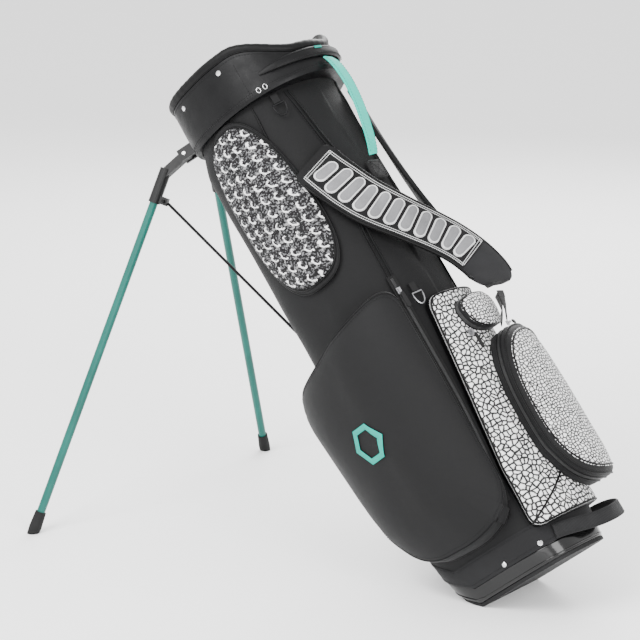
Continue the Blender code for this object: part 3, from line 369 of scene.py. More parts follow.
class Strip:
    """Flat strap along stations of (degrees, height, out[, facing degrees])."""

    def __init__(self, stations, steps=12, sideways=None):
        centres, normals = [], []
        for turn, z, out, *facing in stations:
            here = wall(rad(turn), z, out)
            centres.append(here)
            if facing:
                normals.append((math.cos(rad(facing[0])), math.sin(rad(facing[0])), 0.0))
            else:
                normals.append(unit(wall(rad(turn), z, out + 0.01) - here))
        self.centres = smooth(centres, steps)
        normals = smooth(normals, steps)
        ahead = unit(np.gradient(self.centres, axis=0))
        self.sides = unit(np.cross(ahead, normals)) if sideways is None else np.tile(
            np.asarray(sideways, float), (len(ahead), 1))
        self.sides = unit(self.sides - (self.sides * ahead).sum(-1, keepdims=True) * ahead)
        self.normals = unit(np.cross(self.sides, ahead))
        self.run = run_of(self.centres)

    @property
    def length(self):
        return self.run[-1]

    def at(self, along, across, height=0.0):
        along, across, height = np.broadcast_arrays(
            *(np.asarray(v, float) for v in (along, across, height)))
        pick = [np.stack([np.interp(along, self.run, rows[:, k]) for k in range(3)], -1)
                for rows in (self.centres, self.sides, self.normals)]
        return pick[0] + across[..., None] * pick[1] + height[..., None] * pick[2]

    def band(self, width, thickness, rows=60, across=9, ends=(1.0, 1.0), crown_height=0.0,
             finish=0, end_reach=0.1):
        """Closed strap with rounded edges; its ends may narrow."""
        along = np.linspace(0.0, self.length, rows)
        share = along / self.length
        near = np.minimum(share, 1 - share) / end_reach
        low = np.where(share < 0.5, ends[0], ends[1])
        half = width / 2 * (low + (1 - low) * np.sqrt(np.clip(1 - (1 - np.clip(near, 0, 1)) ** 2, 0, 1)))
        spread = np.linspace(-1, 1, across)
        edge = (1 - np.abs(spread) ** 6)
        top = thickness / 2 * (0.35 + 0.65 * edge) + crown_height * (1 - spread ** 2)
        bottom = -thickness / 2 * (0.35 + 0.65 * edge)
        profile = np.concatenate([np.stack([spread, top], -1),
                                  np.stack([spread[::-1], bottom[::-1]], -1)])
        rings = self.at(along[:, None], half[:, None] * profile[None, :, 0], profile[None, :, 1])
        u = np.concatenate([profile[:, 0], profile[:1, 0]]) * width / 2
        cloth = np.stack(np.broadcast_arrays(u[None, :], along[:, None]), -1)
        return Shape().sweep(rings, cloth, start=rings[0].mean(0), end=rings[-1].mean(0),
                             finish=finish)


# ---------------------------------------------------------------- finishes
def tone(red, green, blue):
    """Linear colour from a printed shade of 0 to 255."""
    return tuple((v / 255 / 12.92) if v <= 10 else ((v / 255 + 0.055) / 1.055) ** 2.4
                 for v in (red, green, blue))


class Finish:
    """A procedural material under construction."""

    def __init__(self, name, metallic=0.0, specular=0.5, sheen=0.0, coat=0.0, coat_roughness=0.1):
        self.material = bpy.data.materials.new(name)
        self.material.use_nodes = True
        self.tree = self.material.node_tree
        self.shader = self.tree.nodes["Principled BSDF"]
        for socket, value in (("Metallic", metallic), ("Specular IOR Level", specular),
                              ("Sheen Weight", sheen), ("Coat Weight", coat),
                              ("Coat Roughness", coat_roughness)):
            self.shader.inputs[socket].default_value = value

    def node(self, kind, inputs=(), **settings):
        made = self.tree.nodes.new("ShaderNode" + kind)
        for key, value in settings.items():
            setattr(made, key, value)
        for socket, value in dict(inputs).items():
            target = made.inputs[socket]
            if isinstance(value, bpy.types.NodeSocket):
                self.tree.links.new(value, target)
            else:
                target.default_value = value
        return made

    def math(self, operation, a, b=0.0, c=0.0):
        return self.node("Math", {0: a, 1: b, 2: c}, operation=operation).outputs[0]

    def spread(self, value, low, high, new_low=0.0, new_high=1.0):
        """Moves a range of values onto another, held at its ends."""
        return self.node("MapRange", {"Value": value, "From Min": low, "From Max": high,
                                      "To Min": new_low, "To Max": new_high}).outputs[0]

    def mix(self, factor, a, b):
        made = self.node("Mix", {"Factor": factor}, data_type="RGBA")
        for socket, value in ((made.inputs[6], a), (made.inputs[7], b)):
            if isinstance(value, bpy.types.NodeSocket):
                self.tree.links.new(value, socket)
            else:
                socket.default_value = (*value, 1.0)
        return made.outputs[2]

    def cloth(self):
        return self.node("UVMap", uv_map="cloth").outputs[0]

    def place(self):
        return self.node("TexCoord").outputs["Object"]

    def noise(self, scale, detail=3.0, vector=None, roughness=0.55):
        return self.node("TexNoise", {"Vector": vector or self.place(), "Scale": scale,
                                      "Detail": detail, "Roughness": roughness}).outputs[0]

    def waves(self, pitch_across, pitch_along):
        """Crossed threads: a height between 0 and 1 over the cloth."""
        split = self.node("SeparateXYZ", {0: self.cloth()})
        across = self.math("SINE", self.math("MULTIPLY", split.outputs[0], TURN / pitch_across))
        along = self.math("SINE", self.math("MULTIPLY", split.outputs[1], TURN / pitch_along))
        return self.math("MULTIPLY_ADD", self.math("MULTIPLY", across, along), 0.5, 0.5)

    def ribs(self, pitch, axis=1):
        split = self.node("SeparateXYZ", {0: self.cloth()})
        wave = self.math("SINE", self.math("MULTIPLY", split.outputs[axis], TURN / pitch))
        return self.math("MULTIPLY_ADD", wave, 0.5, 0.5)

    def bump(self, height, strength, distance, under=None):
        inputs = {"Height": height, "Strength": strength, "Distance": distance}
        if under:
            inputs["Normal"] = under
        return self.node("Bump", inputs).outputs[0]

    def done(self, colour, roughness, normal=None):
        for socket, value in (("Base Color", colour), ("Roughness", roughness), ("Normal", normal)):
            if isinstance(value, bpy.types.NodeSocket):
                self.tree.links.new(value, self.shader.inputs[socket])
            elif value is not None:
                full = (*value, 1.0) if socket == "Base Color" else value
                self.shader.inputs[socket].default_value = full
        return self.material


def scaled(colour, factor):
    return tuple(min(1.0, v * factor) for v in colour)


def woven(name, colour, pitch=0.0011, rough=0.72, sheen=0.15, contrast=0.35, depth=0.0002):
    """Woven cloth with uneven dye, lint and soft creases."""
    f = Finish(name, specular=0.16, sheen=sheen * 0.25)
    threads = f.waves(pitch, pitch)
    patches = f.noise(14, 4)
    lint = f.noise(900, 2)
    dark, light = scaled(colour, 1 - contrast), scaled(colour, 1 + contrast)
    shade = f.mix(f.spread(patches, 0.3, 0.7), dark, light)
    shade = f.mix(f.math("MULTIPLY", f.spread(lint, 0.55, 0.75), 0.35), shade, scaled(colour, 1.9))
    shade = f.mix(f.math("MULTIPLY", threads, 0.3), shade, scaled(colour, 0.55))
    fold = f.bump(f.noise(38, 3), 0.25, 0.002)
    normal = f.bump(threads, 0.5, depth, fold)
    return f.done(shade, f.spread(patches, 0.3, 0.7, rough - 0.06, rough + 0.08), normal)


def leathery(name, colour, rough=0.42, grain=620, coat=0.0):
    """Satin coated leather with fine grain and shallow creases."""
    f = Finish(name, specular=0.14, coat=coat, coat_roughness=0.3)
    grain_cells_and_highlight = f.node("TexVoronoi", {"Vector": f.place(), "Scale": grain},
                   feature="DISTANCE_TO_EDGE").outputs[0]
    grain_cells_and_highlight = f.spread(grain_cells_and_highlight, 0.0, 0.25)
    broad = f.noise(9, 3)
    shade = f.mix(f.spread(broad, 0.3, 0.7), scaled(colour, 0.8), scaled(colour, 1.25))
    # Painted highlight on the grain: each raised grain cell is lighter towards its middle and darker at its
    # grooves.
    shade = f.mix(f.math("MULTIPLY", grain_cells_and_highlight, 0.15), shade, scaled(colour, 1.7))
    crease = f.bump(f.noise(26, 4), 0.3, 0.0035)
    normal = f.bump(grain_cells_and_highlight, 0.25, 0.00022, crease)
    return f.done(shade, f.spread(f.noise(55, 3), 0.3, 0.7, rough - 0.06, rough + 0.10), normal)


def pebbled(name, colour, cell, ink):
    """Printed cloth of pale pebbles on a dark ground, raised slightly."""
    f = Finish(name, specular=0.3)
    drift = f.node("TexNoise", {"Vector": f.cloth(), "Scale": 1.1 / cell, "Detail": 2.0}).outputs[1]
    moved = f.node("VectorMath", {0: drift, 1: (cell * 0.55,) * 3}, operation="MULTIPLY").outputs[0]
    spot = f.node("VectorMath", {0: f.cloth(), 1: moved}, operation="ADD").outputs[0]
    edge = f.node("TexVoronoi", {"Vector": spot, "Scale": 1 / cell, "Randomness": 0.85},
                  feature="DISTANCE_TO_EDGE", voronoi_dimensions="2D").outputs[0]
    each = f.node("TexVoronoi", {"Vector": spot, "Scale": 1 / cell, "Randomness": 0.85},
                  voronoi_dimensions="2D").outputs[1]
    stone = f.spread(edge, 0.12, 0.19)
    tint = f.mix(f.math("MULTIPLY", f.node("SeparateColor", {0: each}).outputs[0], 0.45),
                 colour, scaled(colour, 0.55))
    # Painted shade: each raised stone darkens towards its rim, as a rounded stone turns from the light.
    tint = f.mix(f.spread(edge, 0.12, 0.34, 0.45, 0.0), tint, scaled(colour, 0.3))
    speck = f.noise(1400, 2)
    tint = f.mix(f.math("MULTIPLY", f.spread(speck, 0.5, 0.7), 0.3), tint, scaled(colour, 0.5))
    shade = f.mix(stone, ink, tint)
    threads = f.waves(0.0010, 0.0010)
    normal = f.bump(threads, 0.3, 0.00012, f.bump(f.spread(edge, 0.03, 0.3), 0.6, 0.0007))
    return f.done(shade, f.spread(speck, 0.3, 0.7, 0.55, 0.72), normal)


def linked(name, pale, grey, ink):
    """Knitted pattern of interlocking pale links over a grey and black ground."""
    f = Finish(name, specular=0.2)
    split = f.node("SeparateXYZ", {0: f.cloth()})
    jitter = f.node("TexNoise", {"Vector": f.cloth(), "Scale": 210.0, "Detail": 2.0}).outputs[0]
    jitter = f.spread(jitter, 0.3, 0.7, -0.0016, 0.0016)

    def in_cell(value, pitch, shift):
        """Place inside a repeated cell, from -0.5 to 0.5."""
        turns = f.math("ADD", f.math("MULTIPLY", value, 1 / pitch), shift)
        return f.math("SUBTRACT", f.math("FRACT", turns), 0.5)

    def hoops(pitch_u, pitch_v, shift_u, shift_v, radius, half, opening):
        u = f.math("ADD", split.outputs[0], jitter)
        v = f.math("ADD", split.outputs[1], f.math("MULTIPLY", jitter, -0.8))
        v = f.math("ADD", v, f.math("MULTIPLY", split.outputs[0], 0.35))
        u = in_cell(u, pitch_u, shift_u)
        v = in_cell(v, pitch_v, shift_v)
        u = f.math("MULTIPLY", u, pitch_u / radius)
        v = f.math("MULTIPLY", v, pitch_v / radius)
        far = f.math("SQRT", f.math("ADD", f.math("MULTIPLY", u, u), f.math("MULTIPLY", v, v)))
        off = f.math("ABSOLUTE", f.math("SUBTRACT", far, 1.0))
        lean = f.math("ADD", f.math("MULTIPLY", u, opening[0]), f.math("MULTIPLY", v, opening[1]))
        return f.math("MULTIPLY", f.spread(off, half, half * 0.6), f.spread(lean, 0.35, 0.20))

    white = hoops(0.0190, 0.0225, 0.0, 0.0, 0.0056, 0.27, (0.9, 0.5))
    cross = hoops(0.0190, 0.0225, 0.44, 0.28, 0.0050, 0.24, (-0.9, -0.5))
    marl = f.spread(f.noise(330, 3), 0.52, 0.62)
    ground = f.mix(marl, ink, grey)
    shade = f.mix(f.math("MULTIPLY", cross, 0.8), ground, scaled(pale, 0.35))
    shade = f.mix(white, shade, pale)
    shade = f.mix(f.spread(f.noise(1100, 2), 0.5, 0.66, 0.0, 0.5), shade, ink)
    relief = f.math("MAXIMUM", white, f.math("MULTIPLY", cross, 0.8))
    normal = f.bump(f.waves(0.0016, 0.0016), 0.5, 0.0003, f.bump(relief, 0.5, 0.0005))
    return f.done(shade, f.spread(marl, 0.0, 1.0, 0.7, 0.82), normal)


def webbed(name, colour, pitch=0.0021, rough=0.62):
    """Ribbed webbing with selvedge threads and a little lint."""
    f = Finish(name, specular=0.2, sheen=0.03)
    ribs = f.ribs(pitch)
    fine = f.waves(0.0013, pitch)
    shade = f.mix(f.math("MULTIPLY", ribs, 0.5), colour, scaled(colour, 0.55))
    shade = f.mix(f.math("MULTIPLY", f.spread(f.noise(700, 2), 0.5, 0.7), 0.25), shade,
                  scaled(colour, 1.5))
    shade = f.mix(f.math("MULTIPLY", f.spread(f.noise(11, 3), 0.3, 0.7), 0.25), shade,
                  scaled(colour, 0.7))
    normal = f.bump(fine, 0.5, 0.0003, f.bump(ribs, 0.6, 0.0005))
    return f.done(shade, f.spread(f.noise(60, 2), 0.3, 0.7, rough - 0.05, rough + 0.1), normal)


def toothed(name, colour, pitch=0.0020):
    """Zip tape with its coil of teeth."""
    f = Finish(name, specular=0.5)
    ribs = f.ribs(pitch)
    # Painted highlight and shade: the coil is lighter where the ribs stand high and darker in the dips
    # between teeth.
    shade = f.mix(ribs, scaled(colour, 0.5), scaled(colour, 1.6))
    normal = f.bump(ribs, 0.9, 0.0007)
    return f.done(shade, f.spread(f.noise(90, 2), 0.3, 0.7, 0.35, 0.55), normal)


def moulded(name, colour, rough, grain=0.12, coat=0.0):
    """Moulded plastic with a fine texture, faint dust and rubbed patches."""
    f = Finish(name, specular=0.28, coat=coat, coat_roughness=0.12)
    dust = f.noise(30, 5)
    shade = f.mix(f.spread(dust, 0.45, 0.75, 0.0, 0.25), colour, scaled(colour, 1.8))
    texture = f.noise(1500, 2)
    scuff = f.spread(f.noise(70, 6, roughness=0.7), 0.55, 0.75, 0.0, 0.14)
    level = f.math("ADD", f.spread(dust, 0.3, 0.7, rough - 0.04, rough + 0.06), scuff)
    return f.done(shade, level, f.bump(texture, grain, 0.0003, f.bump(dust, 0.06, 0.002)))


def metalled(name, colour, rough, metallic=1.0, coat=0.0, streak=0.10):
    """Drawn or plated metal with fine lengthwise marks."""
    f = Finish(name, metallic=metallic, specular=0.3, coat=coat, coat_roughness=0.15)
    marks = f.noise(240, 5, roughness=0.7)
    shade = f.mix(f.spread(f.noise(18, 3), 0.3, 0.7), scaled(colour, 0.82), scaled(colour, 1.12))
    worn = f.spread(marks, 0.66, 0.78, 0.0, 0.35)
    shade = f.mix(worn, shade, scaled(colour, 1.45))
    level = f.spread(marks, 0.3, 0.7, rough - streak / 2, rough + streak)
    return f.done(shade, level, f.bump(marks, 0.08, 0.0003))


LOOKS = {}


def look(name, context):
    """The named finish, made once from the scene's colours."""
    if name in LOOKS:
        return LOOKS[name]
    tints = context.scene.stand_bag_colours
    black = tuple(tints.body)
    pale = tuple(tints.pattern)
    recipes = {
        "body_cloth": lambda: woven("body_cloth", black, 0.0010, 0.66, 0.12),
        "pocket_cloth": lambda: woven("pocket_cloth", scaled(black, 1.05), 0.0012, 0.60, 0.12),
        "skirt_cloth": lambda: woven("skirt_cloth", scaled(black, 2.0), 0.0016, 0.72, 0.2),
        "heather_cloth": lambda: woven("heather_cloth", scaled(black, 2.7), 0.0018, 0.8, 0.2, 0.5),
        "cuff_leather": lambda: leathery("cuff_leather", tuple(tints.leather)),
        "grip_leather": lambda: leathery("grip_leather", scaled(tuple(tints.leather), 0.8), 0.42, 480),
        "rim_leather": lambda: leathery("rim_leather", scaled(tuple(tints.leather), 0.6), 0.46, 700),
        "piping": lambda: leathery("piping", scaled(black, 0.45), 0.38, 900),
        "pebble_large": lambda: pebbled("pebble_large", pale, 0.0078, scaled(black, 0.6)),
        "pebble_small": lambda: pebbled("pebble_small", pale, 0.0050, scaled(black, 0.6)),
        "link_knit": lambda: linked("link_knit", pale, tuple(tints.stitch), scaled(black, 0.7)),
        "strap_cloth": lambda: woven("strap_cloth", scaled(black, 0.8), 0.0014, 0.7, 0.15),
        "pod_rim": lambda: woven("pod_rim", scaled(pale, 0.62), 0.0011, 0.6, 0.2, 0.2),
        "pod_mesh": lambda: woven("pod_mesh", tuple(tints.stitch), 0.0026, 0.7, 0.2, 0.35, 0.0005),
        "grey_thread": lambda: woven("grey_thread", scaled(pale, 0.5), 0.0008, 0.6, 0.1, 0.2),
        "black_thread": lambda: woven("black_thread", scaled(black, 1.5), 0.0008, 0.55, 0.1, 0.2),
        "black_webbing": lambda: webbed("black_webbing", scaled(black, 0.85)),
        "handle_webbing": lambda: webbed("handle_webbing", scaled(black, 1.8)),
        "teal_webbing": lambda: webbed("teal_webbing", tuple(tints.handle)),
        "teal_patch": lambda: woven("teal_patch", tuple(tints.patch), 0.0012, 0.6, 0.1, 0.15),
        "zip_coil": lambda: toothed("zip_coil", scaled(black, 0.9)),
        "zip_tape": lambda: webbed("zip_tape", scaled(black, 0.55), 0.0014, 0.6),
        "lining_mesh": lambda: woven("lining_mesh", scaled(black, 3.0), 0.0022, 0.85, 0.2, 0.3, 0.0004),
        "gloss_plastic": lambda: moulded("gloss_plastic", scaled(black, 0.6), 0.14, 0.02, 0.2),
        "grained_plastic": lambda: moulded("grained_plastic", scaled(black, 1.0), 0.42, 0.25),
        "rubber": lambda: moulded("rubber", scaled(black, 0.8), 0.72, 0.4),
        "leg_paint": lambda: metalled("leg_paint", tuple(tints.legs), 0.38, 0.1, 0.12, 0.08),
        "steel": lambda: metalled("steel", (0.72, 0.72, 0.73), 0.2),
        "dark_steel": lambda: metalled("dark_steel", (0.28, 0.28, 0.29), 0.28),
        "painted_wire": lambda: metalled("painted_wire", scaled(black, 1.2), 0.4, 0.6),
    }
    LOOKS[name] = recipes[name]()
    return LOOKS[name]


# ---------------------------------------------------------------- settings
class StandBagColours(bpy.types.PropertyGroup):
    body: FloatVectorProperty(name="Body", description="Colour of the black body cloth",
                              subtype="COLOR", default=tone(11, 11, 12), min=0, max=1)
    leather: FloatVectorProperty(name="Leather", description="Colour of the collar's cuff",
                                 subtype="COLOR", default=tone(9, 9, 10), min=0, max=1)
    handle: FloatVectorProperty(name="Lift handle", description="Colour of the lift handle",
                                subtype="COLOR", default=tone(0, 184, 164), min=0, max=1)
    patch: FloatVectorProperty(name="Accent", description="Colour of the small accents",
                               subtype="COLOR", default=tone(0, 136, 122), min=0, max=1)
    legs: FloatVectorProperty(name="Legs", description="Colour of the painted legs",
                              subtype="COLOR", default=tone(0, 84, 75), min=0, max=1)
    pattern: FloatVectorProperty(name="Pattern", description="Palest colour of the printed cloth",
                                 subtype="COLOR", default=tone(236, 236, 236), min=0, max=1)
    stitch: FloatVectorProperty(name="Grey", description="Grey of pods and knitted ground",
                                subtype="COLOR", default=tone(112, 112, 114), min=0, max=1)


class StandBagSizes(bpy.types.PropertyGroup):
    piping: FloatProperty(name="Piping", description="Radius of the piping cords",
                          unit="LENGTH", default=0.0016, min=0.0005, max=0.003)
    thread: FloatProperty(name="Thread", description="Radius of the sewing thread",
                          unit="LENGTH", default=0.00045, min=0.0002, max=0.001)
    stitch: FloatProperty(name="Stitch", description="Distance from stitch to stitch",
                          unit="LENGTH", default=0.0045, min=0.002, max=0.01)
    fold: FloatProperty(name="Fold", description="Depth of the dents in the body cloth",
                        unit="LENGTH", default=0.0032, min=0.0, max=0.004)
    pod_length: FloatProperty(name="Pod length", description="Length of a pod on the strap",
                              unit="LENGTH", default=0.052, min=0.03, max=0.06)
    pod_width: FloatProperty(name="Pod width", description="Width of a pod on the strap",
                             unit="LENGTH", default=0.0185, min=0.01, max=0.025)
    pods: IntProperty(name="Pods", description="Number of pods on the front strap",
                      default=11, min=4, max=16)


# ---------------------------------------------------------------- body
ROUND = np.arange(240) * TURN / 240
PIPE_LIFT = 0.0012
SEAM_LEFT = ((-32.6, 0.806), (-29.5, 0.773), (-25.7, 0.723), (-22, 0.675), (-29, 0.615),
             (-33.5, 0.561), (-34.5, 0.513), (-35, 0.474), (-36, 0.407), (-37, 0.353),
             (-38, 0.298), (-38.5, 0.26), (-41, 0.186), (-46, 0.13), (-50, 0.086))
SEAM_BACK = ((-63.2, 0.806), (-63.0, 0.785), (-63.8, 0.75), (-63.4, 0.700))


def dent(angle, z):
    """Shallow dents of the cloth between its stays, always inwards."""
    hold = np.clip((z - 0.085) / 0.06, 0, 1) * np.clip((0.800 - z) / 0.03, 0, 1)
    depth = bpy.context.scene.stand_bag_sizes.fold
    wide = ripple(angle * 2.6, z * 21, 5)
    slant = np.sin(z * 46 + 3.1 * np.sin(angle * 2.0)) * ripple(angle * 4, z * 9, 8)
    return -depth * hold * np.clip(0.45 + 0.5 * wide + 0.35 * slant, 0, 1)


def make_body_cover(context):
    rows = 110
    hem = seam_height(ROUND) + 0.0004
    share = np.linspace(0, 1, rows)[:, None]
    z = hem + (BODY_TOP - hem) * share
    angle = np.broadcast_to(ROUND, z.shape)
    outer = wall(angle, z, dent(angle, z))
    inner = wall(angle, z, dent(angle, z) - BODY_WALL)[::-1]
    shape = Shape().sweep(np.concatenate([outer, inner]), loop=True,
                          finish=[0] * rows + [1] * rows)
    piece = shape.make("body_cover", [look("body_cloth", context), look("lining_mesh", context)],
                       slot="body_fabric")
    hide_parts("body_shell")


TRAY_WALL = 0.0035
TRAY_STEP = 0.0042
SOLE_TOP = 0.0054


def make_tray(context):
    """Glossy moulded tray: its wall, its rolled edge and its underside."""
    angle = np.arange(320) * TURN / 320
    seam = seam_height(angle)

    def bottom(points, lift):
        level = (SOLE_TOP + lift - AXIS_LIFT - points[:, 0] * math.sin(LEAN)) / math.cos(LEAN)
        points = points.copy()
        points[:, 2] = np.maximum(level, SOLE_TOP + lift)
        return points

    edge = bottom(wall(angle, 0.02, 0.0), 0.0)
    edge = bottom(wall(angle, edge[:, 2], 0.0), 0.0)
    rings = []
    for share in (0.04, 0.3, 0.6, 0.85, 0.96):
        rings.append(bottom(edge * (share, share, 1), 0.0))
    low = edge[:, 2]
    for share, out in ((0.0, -0.0012), (0.05, -0.0003), (0.12, 0.0), (0.4, 0.0), (0.7, 0.0),
                       (0.9, 0.0), (0.955, -0.0002), (1.0, -0.0010)):
        z = low + (seam - low) * share
        rings.append(wall(angle, z, out))
    rings.append(wall(angle, seam, -TRAY_STEP))
    rings.append(wall(angle, seam + 0.021, -TRAY_STEP))
    rings.append(wall(angle, seam + 0.021, -TRAY_STEP - TRAY_WALL))
    inner = bottom(wall(angle, low + TRAY_WALL, -TRAY_STEP - TRAY_WALL), TRAY_WALL)
    rings.append(inner)
    for share in (0.7, 0.35, 0.04):
        rings.append(bottom(inner * (share, share, 1), TRAY_WALL))
    rings = np.stack(rings)
    shape = Shape().sweep(rings, start=rings[0].mean(0), end=rings[-1].mean(0))
    piece = shape.make("tray", [look("gloss_plastic", context)], slot="moulded_plastic", sharp=40)
    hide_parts("base_tray")
    line = wall(angle, low + (seam - low) * 0.20, 0.0002)
    Shape().tube(line, 0.0010, loop=True).make("tray_rib", [look("gloss_plastic", context)],
                                               slot="moulded_plastic")


def make_skirt(context):
    sizes = context.scene.stand_bag_sizes
    low, high = seam_height(ROUND) + 0.0006, seam_height(ROUND) + 0.036
    rows = []
    for share, out in ((0, 0.0003), (0, 0.0009), (0.03, 0.0012), (0.5, 0.0012), (0.97, 0.0012),
                       (1, 0.0009), (1, 0.0003)):
        rows.append(wall(ROUND, low + (high - low) * share, out))
    shape = Shape().sweep(rows, loop=True)
    piece = shape.make("base_skirt", [look("skirt_cloth", context)], slot="body_fabric")
    seams = Shape()
    for lift in (0.0045, 0.0315):
        line = wall(ROUND, low + lift, 0.0014)
        seams.hem(line, sizes)
    seams.make("skirt_stitching", [look("black_thread", context)], slot="body_fabric")


def make_body_seams(context):
    sizes = context.scene.stand_bag_sizes
    shape = Shape()
    for mirror in (1, -1):
        for offset in (-1.55, 1.55):
            line = [(mirror * (a + offset), z, PIPE_LIFT * 0.4) for a, z in SEAM_LEFT]
            shape.tube(wall_line(line, 10), sizes.piping * 0.8)
        line = [(mirror * a, z, PIPE_LIFT * 0.3) for a, z in SEAM_BACK]
        shape.tube(wall_line(line, 10), sizes.piping * 0.8)
    shape.make("body_piping", [look("piping", context)], slot="body_fabric")
    rows = Shape()
    for mirror in (1, -1):
        for offset in (-3.1, 3.1):
            line = [(mirror * (a + offset), z, 0.0002) for a, z in SEAM_LEFT]
            rows.stitches(wall_line(line, 10), sizes.stitch, radius=sizes.thread * 0.9)
    rows.make("body_stitching", [look("black_thread", context)], slot="body_fabric")


MARKER_SIDES = 6


def marker(context, name, half, lift):
    """Plain six-sided ring, embroidered."""
    turn = np.arange(MARKER_SIDES * 8) * TURN / (MARKER_SIDES * 8)
    wedge = math.pi / MARKER_SIDES
    reach = math.cos(wedge) / np.cos((turn % (TURN / MARKER_SIDES)) - wedge)
    shape = Shape()
    rings = []
    for scale, height in ((0.70, 0.0), (0.72, 0.0007), (0.85, 0.0010), (0.98, 0.0007), (1.0, 0.0)):
        s, t = half * scale * reach * np.cos(turn), half * scale * reach * np.sin(turn) * 1.25
        rings.append(lift(s, t, height))
    shape.sweep(rings, loop=True)
    return shape.make(name, [look("teal_patch", context)], slot="webbing_teal")


# ---------------------------------------------------------------- collar
def make_cuff(context):
    sizes = context.scene.stand_bag_sizes
    top = rim_height(ROUND) - ROLL_HALF - 0.0004
    rows = []
    for share in np.linspace(0, 1, 30):
        z = COLLAR_LOW + 0.010 + (top - COLLAR_LOW - 0.010) * share
        rise = math.sin(share * math.pi)
        puff = 0.0005 * rise + 0.0004 * ripple(ROUND * 7, z * 70, 12) * rise
        rows.append(cuff(ROUND, z, puff))
    bottom = [cuff(ROUND, COLLAR_LOW + 0 * ROUND, -0.0015), cuff(ROUND, COLLAR_LOW + 0.003, -0.0002),
              cuff(ROUND, COLLAR_LOW + 0.006, 0.0003)]
    inside = [cuff(ROUND, top, -COLLAR_SKIN), cuff(ROUND, COLLAR_LOW + COLLAR_SKIN + 0 * ROUND,
                                                  -COLLAR_SKIN - 0.0005)]
    hem = [wall(ROUND, COLLAR_LOW + COLLAR_SKIN, SEAT), wall(ROUND, COLLAR_LOW, SEAT)]
    shape = Shape().sweep(bottom + rows + inside + hem, loop=True)
    piece = shape.make("cuff", [look("cuff_leather", context)], slot="collar_leather")
    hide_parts("collar_cover")

    seams = Shape()
    for lift in (0.0075, 0.0105):
        line = cuff(ROUND, COLLAR_LOW + lift + 0 * ROUND, 0.0004)
        seams.hem(line, sizes)
    line = cuff(ROUND, top - 0.004, 0.0004)
    seams.hem(line, sizes)
    for angle in (-58, 58):
        z = np.linspace(COLLAR_LOW + 0.010, COLLAR_HIGH - 0.022, 24)
        seams.stitches(cuff(rad(angle) + 0 * z, z, 0.0007), sizes.stitch, radius=sizes.thread)
    seams.make("cuff_stitching", [look("black_thread", context)], slot="collar_leather")


def make_rim(context):
    turn = np.arange(20) * TURN / 20
    pucker = 1.0 + 0.035 * np.sin(ROUND * 61) * np.sin(ROUND * 3 + 1) + 0.02 * ripple(ROUND * 40, 0, 4)
    rows = []
    for a in turn:
        out = -0.003 + (ROLL_THICK + 0.0006) * math.cos(a) * pucker
        rows.append(cuff(ROUND, rim_height(ROUND) + ROLL_HALF * math.sin(a) * pucker, out))
    piece = Shape().sweep(rows, loop=True).make("rim_padding", [look("rim_leather", context)],
                                                slot="collar_leather", sharp=80)
    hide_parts("rim_roll")
    line = cuff(ROUND, rim_height(ROUND) - ROLL_HALF * 0.86, 0.0004)
    Shape().tube(line, 0.0008, loop=True).make("rim_seam", [look("piping", context)],
                                               slot="collar_leather")


def make_grip(context):
    """Grab band over the strap side, its stitching, and the small accent tab."""
    half_turn, seat, full, flat = 46, 0.0008, 0.0077, 0.0012

    def bulge_at(share):
        return full * (1 - share ** 4) + flat * share ** 4

    sizes = context.scene.stand_bag_sizes
    low, high = COLLAR_DIP - 0.026, COLLAR_DIP - 0.009
    share = np.linspace(-1, 1, 64)
    turn = np.arange(20) * TURN / 20
    rings = []
    for s in share:
        bulge = bulge_at(s)
        half = (high - low) / 2 * (1 - 0.75 * abs(s) ** 3)
        z = (low + high) / 2 + half * np.copysign(np.abs(np.sin(turn)) ** 0.7, np.sin(turn))
        out = seat + bulge * (0.5 + 0.5 * np.copysign(np.abs(np.cos(turn)) ** 0.7, np.cos(turn)))
        rings.append(cuff(rad(half_turn) * s + 0 * turn, z, out))
    piece = Shape().sweep(rings, start=rings[0].mean(0), end=rings[-1].mean(0)).make(
        "grip_band", [look("grip_leather", context)], slot="collar_leather")
    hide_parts("collar_grip")
    seams = Shape()
    angle = np.linspace(-38, 38, 60)
    bulge = bulge_at(angle / half_turn)
    for z in (low + 0.0035, high - 0.0035):
        seams.stitches(cuff(rad(angle), z, 0.0009 + bulge * 0.985), sizes.stitch, radius=sizes.thread)
    seams.make("grip_stitching", [look("black_thread", context)], slot="collar_leather")
    tab = Shape()
    angle = np.linspace(-3.0, 3.4, 14)
    rows = [cuff(rad(angle), z, seat + full + lift) for z, lift in
            ((COLLAR_DIP - 0.0145, 0.0), (COLLAR_DIP - 0.0142, 0.0008),
             (COLLAR_DIP - 0.0108, 0.0008), (COLLAR_DIP - 0.0105, 0.0))]
    tab.sweep(rows, ring=False)
    tab.sweep([cuff(rad(angle), z, 0.0085) for z in (COLLAR_DIP - 0.0145, COLLAR_DIP - 0.0105)],
              ring=False)
    tab.make("grip_tab", [look("teal_patch", context)], slot="webbing_teal")


def make_collar_trim(context):
    """Small clip at the collar's lower edge."""
    clip = Shape()
    for turn_at in (-51.5, -46.5):
        _, outward, across, up = place_at(rad(turn_at), 0.8185, 0.0045)
        frame_at = cuff(rad(turn_at), COLLAR_LOW + 0.0085, 0.0010)
        hoop = np.arange(20) * TURN / 20
        line = frame_at + 0.0030 * np.cos(hoop)[:, None] * across + 0.0042 * np.sin(hoop)[:, None] * up
        clip.tube(line, 0.0006, loop=True, facing=np.tile(outward, (20, 1)))
    clip.make("collar_clip", [look("steel", context)], slot="polished_steel")


# ---------------------------------------------------------------- pockets and pads
def piping_on(pad, scale, height, radius, shape=None):
    shape = shape or Shape()
    return shape.tube(pad.ring(scale, height), radius, loop=True)


def pocket_swell(s, t):
    """The large pocket is fullest near its top and thins towards the base."""
    return 0.74 + 0.34 * np.clip((t + 0.16) / 0.24, 0.0, 1.0)


